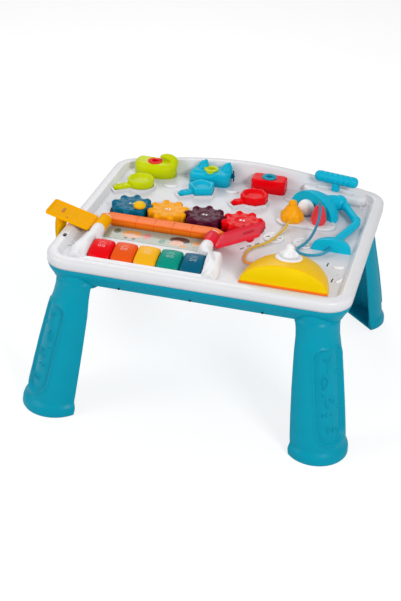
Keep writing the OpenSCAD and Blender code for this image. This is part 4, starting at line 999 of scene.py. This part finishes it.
def lamp_hood():
    """Half a dome behind a broad flat band, with a rounded hollow for the bulb in the band's middle.

    The band runs between two half ellipses. The hollow's rings shrink by a cosine as they go in by a sine.
    """
    t = np.linspace(0, np.pi, 57)
    x, z, level = np.cos(t), np.sin(t), np.ones(57)
    rows = []
    for p in np.linspace(np.pi / 2, 0, 22):
        rows.append([HOOD_HALF * x, HOOD_DEEP * z * np.sin(p), HOOD_H * z * np.cos(p)])
    for a in np.linspace(0.3, np.pi / 2, 4):
        k = HOOD_EDGE * (1 - np.cos(a))
        rows.append([(HOOD_HALF - k) * x, -HOOD_EDGE * np.sin(a) * level, (HOOD_H - k) * z])
    for share in (0.35, 0.7, 1.0):
        across = (HOOD_HALF - HOOD_EDGE) * x * (1 - share) + (HOLLOW_HALF * x - 1) * share
        up = (HOOD_H - HOOD_EDGE) * z * (1 - share) + HOLLOW_H * z * share
        rows.append([across, -HOOD_EDGE * level, up])
    for a in np.linspace(0.12, np.pi / 2 - 0.02, 12):
        c = np.cos(a)
        rows.append([HOLLOW_HALF * c * x - 1, HOLLOW_DEEP * np.sin(a) * level, HOLLOW_H * c * z])
    points, faces = skin(np.moveaxis(np.array(rows), 1, 2), around=False)
    part = turned(points, HOOD_TURN) + np.asarray(HOOD_AT), faces
    build("lamp_hood_shell", part, "cyan", "table", ["lamp_shade"])


def lamp_arm():
    """Bent arm from the foot to the hood, with two collars, a round joint and a thick neck."""
    curve = spline(ARM_PATH, 8)
    parts = [tube(curve, ARM_R, 24), ball(JOINT_R, LAMP_JOINT_AT, 1.0, 32, 20)]
    parts.append(tube(HOOD_NECK_PATH, HOOD_NECK_R, 28))
    for share in ARM_COLLARS:
        i = int(share * (len(curve) - 1))
        d = curve[i + 1] - curve[i]
        collar = [(6.0, -2.6), (7.0, -2.2), (7.3, 0), (7.0, 2.2), (6.0, 2.6)]
        parts.append(revolved(collar, curve[i], d / np.linalg.norm(d), 32))
    build("lamp_arm_tube", parts, "cyan", "table", ["lamp_arm"])


def lamp():
    """Foot, arm, hood and bulb of the play lamp."""
    foot = half_dome(LAMP_FOOT_R, LAMP_FOOT_R, LAMP_FOOT_H, LAMP_FOOT_AT, 16, 36, 1.0, square=0.62)
    build("lamp_foot", foot, "cyan", "table", ["lamp_base"])
    lamp_arm()
    lamp_hood()
    bulb = ball(BULB_R, BULB_AT, 1.0, 40, 28)
    build("lamp_bulb_glass", bulb, "milky", "table", ["lamp_bulb"])


# ---------------------------------------------------------------- plugs and cords

AMBER_PLUG_AT, RED_PLUG_AT = (93.5, 53.5, FIELD + 4), (134.5, 53.5, FIELD + 4)
AMBER_CORD_R, BLUE_CORD_R = 1.9, 2.1
AMBER_ROUTE = [
    (93.5, 44, 238), (93.5, 39, 238), (93.5, 34, 238), (92, 29, 236), (90.5, 23, 233), (88, 14, 231.5),
    (85, 2, 231.4), (82, -12, 231.5), (76, -27, 231.2), (67, -39, 230), (58, -49, 230), (53, -61, 230),
    (51.5, -75, 230), (53, -88, 230),
    (56, -98, 231), (62, -104.5, 233), (70, -108.5, 234), (78, -112.5, 234),
]
BLUE_ROUTE = [
    (134.5, 53.5, 256.5), (134.5, 53.5, 261), (134.5, 53, 265.5), (135, 49, 269), (136.5, 43, 267),
    (138.5, 34, 260),
    (139, 20, 252), (137, 4, 244), (133, -10, 237), (127, -22, 232.5), (121, -32, 230.6), (120.5, -40, 230.3),
    (126, -46.5, 230.3), (136, -49.5, 230.6), (147, -49, 231.5), (157, -45, 233), (163.5, -38, 234.6),
    (165, -31, 235),
    (165, -24, 235),
]


def amber_plug():
    """Bell-shaped plug, fluted below by eight waves of a cosine."""
    bell = [(15.6, 0), (16.4, 0.7), (16.7, 3), (16.6, 9.5), (15.8, 12.2), (14.0, 14.2), (12.2, 16.0),
            (11.2, 18.4), (10.2, 20.6), (7.6, 22.4), (6.5, 23.8), (6.5, 27.6), (6.1, 29.4), (4.8, 31.2),
            (2.6, 32.2), (0.8, 32.5)]

    def flutes(angle, z):
        return 1 + 0.065 * np.cos(8 * angle) * np.clip((15 - z) / 4, 0, 1)

    part = revolved(bell, AMBER_PLUG_AT, n=96, lobes=flutes)
    return build("amber_plug_bell", part, "amber", "table", ["amber_plug"])


def red_plug():
    """Drop-shaped plug."""
    drop = [(8.6, 0), (9.2, 0.5), (10.6, 2.6), (11.4, 5.4), (11.5, 8.6), (11.0, 12.4), (10.2, 16.6),
            (9.2, 20.5), (8.1, 24), (6.6, 27.2), (4.4, 29.6), (2.2, 30.4)]
    part = revolved(drop, RED_PLUG_AT, n=56)
    return build("red_plug_drop", part, "rose", "table", ["red_plug"])


def cord_line(name, route, radius):
    """Soft cord along its route, from the table to its plug."""
    path = spline(np.array(route)[::-1], 6)
    piece = build(name + "_line", tube(path, radius, 14), name, "table", [name])


def plugs_and_cords():
    """Two toy plugs standing in their holder, and the soft cords that run to them from dome and lamp."""
    amber, red = amber_plug(), red_plug()
    cord_line("amber_cord", AMBER_ROUTE, AMBER_CORD_R)
    cord_line("blue_cord", BLUE_ROUTE, BLUE_CORD_R)


# ---------------------------------------------------------------- slide

SLIDE_AT, SLIDE_TURN, GRIP_UP = (142, 158), -10, 33.2
BAND = ((8.0, -4.1), (8.6, -3.6), (8.8, 0), (8.6, 3.6), (8.0, 4.1))  # radius and place along the grip
BAND_STEP, BANDS = 8.4, range(-3, 4)


def slide_grip():
    """T-handle with a banded grip on a flared stem."""
    grip = [(2.2, -35.2), (4.8, -34.6), (6.9, -32.9), (8.1, -30.8), (8.3, -29.9)]
    for k in BANDS:
        grip += [(r, BAND_STEP * k + off) for r, off in BAND]
    grip += [(8.3, 29.9), (8.1, 30.8), (6.9, 32.9), (4.8, 34.6), (2.2, 35.2)]
    stem = [(3.4, -4), (3.4, 14.4), (6.5, 14.7), (6.7, 15.6), (6.4, 17.2), (6.2, 19.0), (6.2, 23), (6.4, 30)]
    axis = (math.cos(math.radians(SLIDE_TURN)), math.sin(math.radians(SLIDE_TURN)), 0)
    parts = [revolved(grip, (*SLIDE_AT, FIELD + GRIP_UP), axis, 40), revolved(stem, (*SLIDE_AT, FIELD), n=36)]
    build("slide_grip", parts, "cyan", "slide_handle", ["slide_handle"])


# ---------------------------------------------------------------- legs

LEG_FOOT = np.array([195.2, 190.4])
LEG_NECK = np.array([174.0, 157.0])
LEG_NECK_UP, LEG_REACH, SOLE_R = 190.0, math.radians(95), 44
LEG_LEVELS = [0, 1.5, 9, 12.5, 15.5, 18, 20.5, 30, 52, 100, 150, 174, 186, 197, 201, 214]
LEG_OUTER = [46.2, 47.4, 47.7, 47.0, 45.0, 43.0, 42.2, 42.0, 40.8, 38.3, 34.6, 32.4, 32.6, 34.0, 29, 27]
LEG_INNER = [38.6, 38.6, 38.6, 38.6, 38.6, 38.6, 38.6, 38.5, 37.2, 34.8, 31.0, 28.9, 28.8, 28.6, 25, 24]
LEG_GROW_LEVELS = [0, 14, 22, 60, 150, 197]
LEG_GROW = {-1: [3.0, 3.0, 3.2, 3.4, 3.2, -1.0], 1: [-1.8, -1.4, 0.4, 1.2, 1.2, 0]}
LEFT_AWAY = [3.3, -1.0]  # at the floor and at the neck
PANEL_UP, PANEL_HALF_H, PANEL_HALF_W = 96.0, 67.0, 24.5
PANEL_SUNK, LIP_RISE, MARK_RISE = 4.6, 1.7, 2.7
LEG_MARKS = [
    spline([(-3, 152), (2, 144), (9, 151), (3, 139), (4, 130)], 4),
    spline([(9, 128), (4, 118), (10, 108), (13, 119), (9, 128)], 4),
    spline([(-6, 92), (-2, 84), (6, 82), (9, 90), (4, 95), (-1, 90)], 5),
    spline([(-1, 70), (3, 74), (7, 70), (11, 74), (14, 70)], 5),
    spline([(-12, 44), (-7, 52), (-3, 45), (1, 53), (5, 46), (9, 54)], 4),
]
LEG_DOTS = ((-13, 128), (-14, 78), (12, 100))
LEG_PLACES = ((-1, -1, "front_left"), (1, -1, "front_right"), (-1, 1, "rear_left"), (1, 1, "rear_right"))


def leg_relief(s, h):
    """Height off the leg's round: a sunk panel with round corners, a soft lip round it and low raised marks.

    The panel's signed distance is that of a box with a corner radius, smaller above its middle than below; a
    mark's height falls off with the squared distance from the nearest piece of its line.
    """
    corner = np.where(h > PANEL_UP, 13.0, 21.0)
    dx, dh = np.abs(s) - PANEL_HALF_W + corner, np.abs(h - PANEL_UP) - PANEL_HALF_H + corner
    out = np.hypot(np.maximum(dx, 0), np.maximum(dh, 0)) + np.minimum(np.maximum(dx, dh), 0) - corner
    sunk = logistic(-0.6 - out, 0.36)
    points = np.stack([s, h], axis=-1)[..., None, :]
    near = np.full(s.shape, 99.0)
    for line in LEG_MARKS:
        a, d = line[:-1], np.diff(line, axis=0)
        t = np.clip(((points - a) * d).sum(axis=-1) / (d**2).sum(axis=-1), 0, 1)
        near = np.minimum(near, np.linalg.norm(points - a - t[..., None] * d, axis=-1).min(axis=-1))
    for a, b in LEG_DOTS:
        near = np.minimum(near, np.maximum(np.hypot(s - a, h - b) - 1.2, 0))
    lip = LIP_RISE * np.exp(-(((out - 1.9) / 1.5) ** 2))
    return lip + sunk * (MARK_RISE * np.exp(-((near / 1.05) ** 2)) - PANEL_SUNK)


def leg_sole():
    """Thin plate that closes a foot, between the arc of the leg and the chord of its ends."""
    a = np.linspace(-LEG_REACH, LEG_REACH, 60) + math.pi / 4
    arc = SOLE_R * np.stack([np.cos(a), np.sin(a)], axis=-1)
    chord = arc[-1] + (arc[0] - arc[-1]) * np.linspace(0, 1, 22)[1:-1, None]
    return lidded(LEG_FOOT + np.concatenate([arc, chord]), 0.2, 3.2, edge=0.8, rings=5)


def leg_shell(side):
    """Leg as level rings, closed at both ends: an outer arc round the diagonal, and an inner arc back.

    The middle of each ring lies on a straight line from foot to neck, and a logistic step makes the wall
    thicker behind the sunk panel. LEG_GROW and LEFT_AWAY make the left legs fuller and set them further out.
    """
    z = np.concatenate([np.linspace(0, 22, 16), np.linspace(22, 197, 146)[1:], [201, 207, 214]])[:, None]
    centre = LEG_FOOT + (LEG_NECK - LEG_FOOT) * z / LEG_NECK_UP
    out_a = np.linspace(-LEG_REACH, LEG_REACH, 150)[None, :]
    in_a = np.linspace(LEG_REACH - 0.01, -LEG_REACH + 0.01, 36)[None, :]
    big, small = np.interp(z, LEG_LEVELS, LEG_OUTER), np.interp(z, LEG_LEVELS, LEG_INNER)
    grow = np.interp(z, LEG_GROW_LEVELS, LEG_GROW[side])
    away = np.interp(z, [0, LEG_NECK_UP], LEFT_AWAY) if side < 0 else 0 * z
    inner = small - 3.4 * logistic(25 - np.abs(small * in_a), 1.5)
    outer = big + grow + leg_relief(big * out_a, z + 0 * out_a)
    r, a = np.concatenate([outer, inner + grow], axis=1), np.concatenate([out_a, in_a], axis=1) + math.pi / 4
    x, y = centre[:, :1] + away + r * np.cos(a), centre[:, 1:] + r * np.sin(a)
    points, faces = skin(np.stack([x, y, z + 0 * r], axis=-1))
    ring = np.arange(r.shape[1])
    return (points, faces + [ring[None, ::-1], ring[None] + r.size - r.shape[1]]), away[0, 0]


def legs():
    """Four legs on their soles: the two of a side share a shape, mirrored front to back."""
    sole_points, sole_faces = leg_sole()
    for sx, sy, name in LEG_PLACES:
        shell, away = leg_shell(sx)
        under = sole_points + [away, 0, 0], sole_faces
        parts = [(points * [sx, sy, 1], faces) for points, faces in (shell, under)]
        parts = parts if sx == sy else [flipped(*part) for part in parts]
        build(name + "_leg_shell", parts, "teal", "table", [name + "_leg"])


# ---------------------------------------------------------------- white trims of the field

HOLDER_AT, KEYS_AT, KEY_WINDOW_AT = (115.5, 53.5), (-79.6, -134.5), (-79.6, -131.7)
HOLDER_SIZE, HOLDER_UP = (92, 34), 4.1
TRACK_SIZE, TRACK_SLOT, TRACK_UP = (104.4, 27.4), (61, 8.4), 14.0
SURROUND_SIZE, WINDOW_SIZE, SURROUND_UP = (196, 52.6), (170.6, 41.4), 1.7
MOUNDS = {  # side next to the keys, outer side at the back and at the front, and the ridge's ends
    "left": (-164.8, -183.0, -188.5, (-168.5, -177.5)),
    "right": (5.6, 23.0, 29.5, (-3.5, 18.5)),
}
MOUND_BACK, MOUND_CORNER, MOUND_FRONT = -97.5, -140, -161
RIDGE_UP, RIDGE_FALL, SHOULDER_UP, SOFTNESS = 18.7, 9.0, 11.5, 1.2
OUTLETS = ((79, -9), (124.5, -12.5))
OUTLET_RINGS = ((0, 15.0, 0.9), (-8.7, 5.1, 1.5), (8.7, 5.1, 1.5))  # place, radius and thickness
ARC_THICK = 2.6
ARCS = (  # middle, radius, first angle and sweep
    ((-118, 128), 17, -120, 80), ((-18, 140), 17, -130, 80), ((78, 140), 15, -130, 90),
    ((184, -62), 10, -120, 100), ((186, -104), 10, -70, 100),
)
SLITS = ((42, -56, 60), (50, -45, 60), (60, -35, 60), (170, -64, 80), (184, -108, 80))  # place and turn
SLIT_SIZE = (9, 1.5)
NOTCH_X, NOTCH_Y, NOTCH_UP, NOTCH_R = (-105.4, -1.7, 101.9), -179.7, 200.0, 1.7


def white_trim(name, parts, finish="bright_white", replaces=()):
    """Piece of the tray in white plastic."""
    build(name, parts, finish, "table", replaces)


def hole_ring(outer, hole, bottom, top, edge):
    """Raised plate with a hole: up the outside, over a rounded edge, in to the hole's outline and down it."""
    rows = walled(outer, bottom, level_at(top), edge, 5)
    last = rows[-1][:, :2]
    for share, drop in ((0.75, 0), (0.5, 0), (0.25, 0), (0.1, 0), (0.0, 0.5)):
        rows.append(np.column_stack([hole + (last - hole) * share, np.full(len(outer), top - drop)]))
    rows.append(np.column_stack([hole, np.full(len(outer), bottom)]))
    return skin(np.array(rows), along=True)


def holder_track_and_surround():
    """Block that holds the plugs, tall track of the slide, and frame round the keys' window."""
    block = stadium(*HOLDER_SIZE, 18, at=HOLDER_AT)
    holder = lidded(block, FIELD - 0.2, FIELD + HOLDER_UP, edge=1.8, rings=5)
    white_trim("cord_holder", holder, "tray", ["plug_holder"])
    outer, slot = stadium(*TRACK_SIZE, 18), stadium(*TRACK_SLOT, 18)
    points, faces = hole_ring(outer, slot, FIELD - 0.2, FIELD + TRACK_UP, 3.4)
    track = turned(points, SLIDE_TURN) + [*SLIDE_AT, 0], faces
    white_trim("slide_track_top", track, "tray", ["slide_track"])
    outer = rounded_rect(*SURROUND_SIZE, 8, 8, at=KEYS_AT, side=12)
    window = rounded_rect(*WINDOW_SIZE, 3, 8, at=KEY_WINDOW_AT, side=12)
    white_trim("key_surround", hole_ring(outer, window, FIELD - 1, FIELD + SURROUND_UP, 1.5))


def mound(x_in, x_back, x_front, ridge):
    """White wall beside the keys, in two blocks that share one height, so that they go round a key's corner.

    The wall stands between x_in and a side that runs from x_back to x_front. The height blends its level
    shoulder, which drops by a square near the front, with a ridge that slopes down from the hinge. The blend
    is the logarithm of the sum of their exponentials.
    """
    def top(x, y):
        along = np.clip((-100 - y) / 38, 0, 1)
        off = np.abs(x - ridge[0] - (ridge[1] - ridge[0]) * along)
        crest = RIDGE_UP - RIDGE_FALL * along - 14 * (off / 11) ** 3
        outer = x_back + (x_front - x_back) * np.clip((MOUND_BACK - y) / (MOUND_BACK - MOUND_CORNER), 0, 1)
        level = SHOULDER_UP - 9 * np.clip((-134 - y) / 25, 0, None) ** 2
        level = level - 6 * (np.abs((x - (x_in + outer) / 2) / (outer - x_in)) * 2) ** 6
        crest, level = np.maximum(crest, -6), np.maximum(level, -6)
        return FIELD + SOFTNESS * np.log(np.exp(crest / SOFTNESS) + np.exp(level / SOFTNESS))

    raw = [(x_in, MOUND_FRONT), (x_front, MOUND_FRONT), (x_front, MOUND_CORNER), (x_back, MOUND_BACK),
           (x_in, MOUND_BACK)]
    wall = cut_corners(raw if x_front > x_in else raw[::-1], 2.5, 20)
    behind = rounded_rect(24, 13.5, 3.0, 8, at=(ridge[0], -104.25), side=20)
    return [lidded(line, FIELD - 7.0, top, edge=1.8, steps=5, rings=30) for line in (wall, behind)]


def mounds_and_bolsters():
    """Walls beside the keys, and the round ends of the flaps' hinges behind them."""
    for side, measures in MOUNDS.items():
        white_trim(side + "_mound", mound(*measures))
    bolster = [(6.0, 0), (8.7, 0.4), (9.3, 1.6), (9.5, 7), (9.5, 11), (9.2, 15), (8.6, 18), (7.6, 20),
               (3, 21)]
    for side, flap in FLAPS.items():
        white_trim(side + "_bolster", revolved(bolster, (flap[1], -80.2, HINGE_UP), (0, -1, 0), 40))


def outlet_rims():
    """Raised rims of the two toy outlets and of their round holes."""
    rims = []
    for x, y in OUTLETS:
        for dx, r, thick in OUTLET_RINGS:
            line = circle(r, 48, (x + dx, y))
            rims.append(tube(np.column_stack([line, np.full(48, FIELD + 1.2)]), thick, 10, closed=True))
    white_trim("outlet_rims", rims)


def raised_arcs():
    """Short raised arcs on the field, whose thickness tapers by the root of a sine."""
    arcs = []
    for (x, y), r, start, sweep in ARCS:
        a = np.radians(start + sweep * np.linspace(0, 1, 24))
        path = np.stack([x + r * np.cos(a), y + r * np.sin(a), np.full(24, FIELD + 0.7)], axis=-1)
        arcs.append(tube(path, ARC_THICK * np.sin(np.linspace(0.2, np.pi - 0.2, 24)) ** 0.5, 10))
    white_trim("raised_arcs", arcs)


def slit_and_notch_shade():
    """Black marks that paint the shade inside the slits in the field and inside the notches along the
    casing's front.
    """
    lines = [stadium(*SLIT_SIZE, 6, at=(x, y), turn=turn) for x, y, turn in SLITS]
    slits = [lidded(line, FIELD - 0.6, FIELD + 0.25, edge=0.2, rings=3) for line in lines]
    # painted shade: black patches, a little proud of the field, for the dark insides of the slits
    build("field_slits", slits, "black", "table")
    notches = [ball(NOTCH_R, (x, NOTCH_Y, NOTCH_UP), 0.9, 14, 8) for x in NOTCH_X]
    # painted shade: black dots on the casing for the dark insides of the notches
    build("case_notches", notches, "black", "table")


# ---------------------------------------------------------------- floor, lights and world

FLOOR_GLOW, WORLD_LIGHT = 0.78, 0.42
LIGHTS = {  # place, size and power
    "key": ((1.25, -1.3, 1.35), 0.55, 19),
    "fill": ((-1.5, -1.0, 1.1), 1.0, 12),
    "back": ((-0.5, 1.3, 1.3), 0.8, 7),
}
LIT_POINT = Vector((0, 0, 0.2))


def pale_floor():
    """Floor that glows for camera rays only, so that it comes out pale and still takes soft shadows."""
    bpy.ops.mesh.primitive_plane_add(size=12, location=(0, 0, -0.0002))
    floor = bpy.context.object
    floor.name = "floor"
    f = Finish("pale_floor")
    seen = f.add("ShaderNodeLightPath").outputs["Is Camera Ray"]
    f.paint(f.mix(seen, (0.9, 0.9, 0.9, 1), (0.3, 0.3, 0.3, 1)))
    f.set(f.shader, "Roughness", 0.7)
    f.set(f.shader, "Specular_IOR_Level", 0.0)
    glow = f.add("ShaderNodeEmission", Color=(1, 1, 1, 1), Strength=f.ramp(seen, 0, 1, 0.0, FLOOR_GLOW))
    both = f.add("ShaderNodeAddShader", _0=f.shader.outputs[0], _1=glow.outputs[0])
    f.set(f.output, "Surface", both.outputs[0])
    floor.data.materials.append(f.material)


def white_world():
    """World that is white for camera and transmission rays, and at a plain level for light."""
    world = bpy.data.worlds.new("studio")
    bpy.context.scene.world = world
    world.use_nodes = True
    nodes, links = world.node_tree.nodes, world.node_tree.links
    kinds = "ShaderNodeLightPath", "ShaderNodeMath", "ShaderNodeMapRange"
    path, seen, level = (nodes.new(kind) for kind in kinds)
    seen.operation = "MAXIMUM"
    links.new(path.outputs["Is Camera Ray"], seen.inputs[0])
    links.new(path.outputs["Is Transmission Ray"], seen.inputs[1])
    links.new(seen.outputs[0], level.inputs[0])
    level.inputs[3].default_value, level.inputs[4].default_value = WORLD_LIGHT, 1.0
    links.new(level.outputs[0], nodes["Background"].inputs[1])
    nodes["Background"].inputs[0].default_value = (1, 1, 1, 1)


def soft_lights():
    """Square area lights, each turned to the same point."""
    for name, (at, size, power) in LIGHTS.items():
        light = bpy.data.lights.new(name, "AREA")
        light.energy, light.size = power, size
        made = bpy.data.objects.new(name, light)
        bpy.context.scene.collection.objects.link(made)
        made.location = at
        made.rotation_euler = (LIT_POINT - Vector(at)).to_track_quat("-Z", "Y").to_euler()


# ---------------------------------------------------------------- all together

NODE_FINISH = {  # finish of a CAD node by its slot
    "white_plastic": "tray", "teal_plastic": "teal", "steel": "steel", "lime_plastic": "lime",
    "blue_plastic": "cyan", "red_plastic": "red", "dark_teal_plastic": "deep_teal", "amber_plastic": "amber",
    "maroon_plastic": "maroon", "yellow_plastic": "yellow", "orange_plastic": "orange", "coral_lens": "coral",
    "printed_sheet": "print", "pink_plastic": "pink", "green_plastic": "green", "bulb_plastic": "milky",
    "amber_cord": "amber", "blue_cord": "cyan", "dark_plastic": "black", "board": "board", "cell": "cell",
}


def dress_nodes():
    """Every CAD node gets the finish of its slot; the red lock's bush is darker than the other blue ones."""
    slots = {row["node"]: row["material_slot"] for row in frame["record"]["subparts"]}
    for node, obj in frame["nodes"].items():
        obj.data.materials.clear()
        obj.data.materials.append(finishes["teal" if node == "red_keyhole" else NODE_FINISH[slots[node]]])


dress_nodes()
plugs_and_cords()
rim_skin()
casing_skin()
piano_keys()
gears()
crank()
lime_lock()
blue_lock()
red_lock()
propeller()
chunky_keys()
flaps()
light_bar()
dome()
dome_crown()
lamp()
slide_grip()
legs()
holder_track_and_surround()
mounds_and_bolsters()
outlet_rims()
raised_arcs()
slit_and_notch_shade()
pale_floor()
white_world()
soft_lights()
bpy.context.scene.view_settings.view_transform = "Standard"
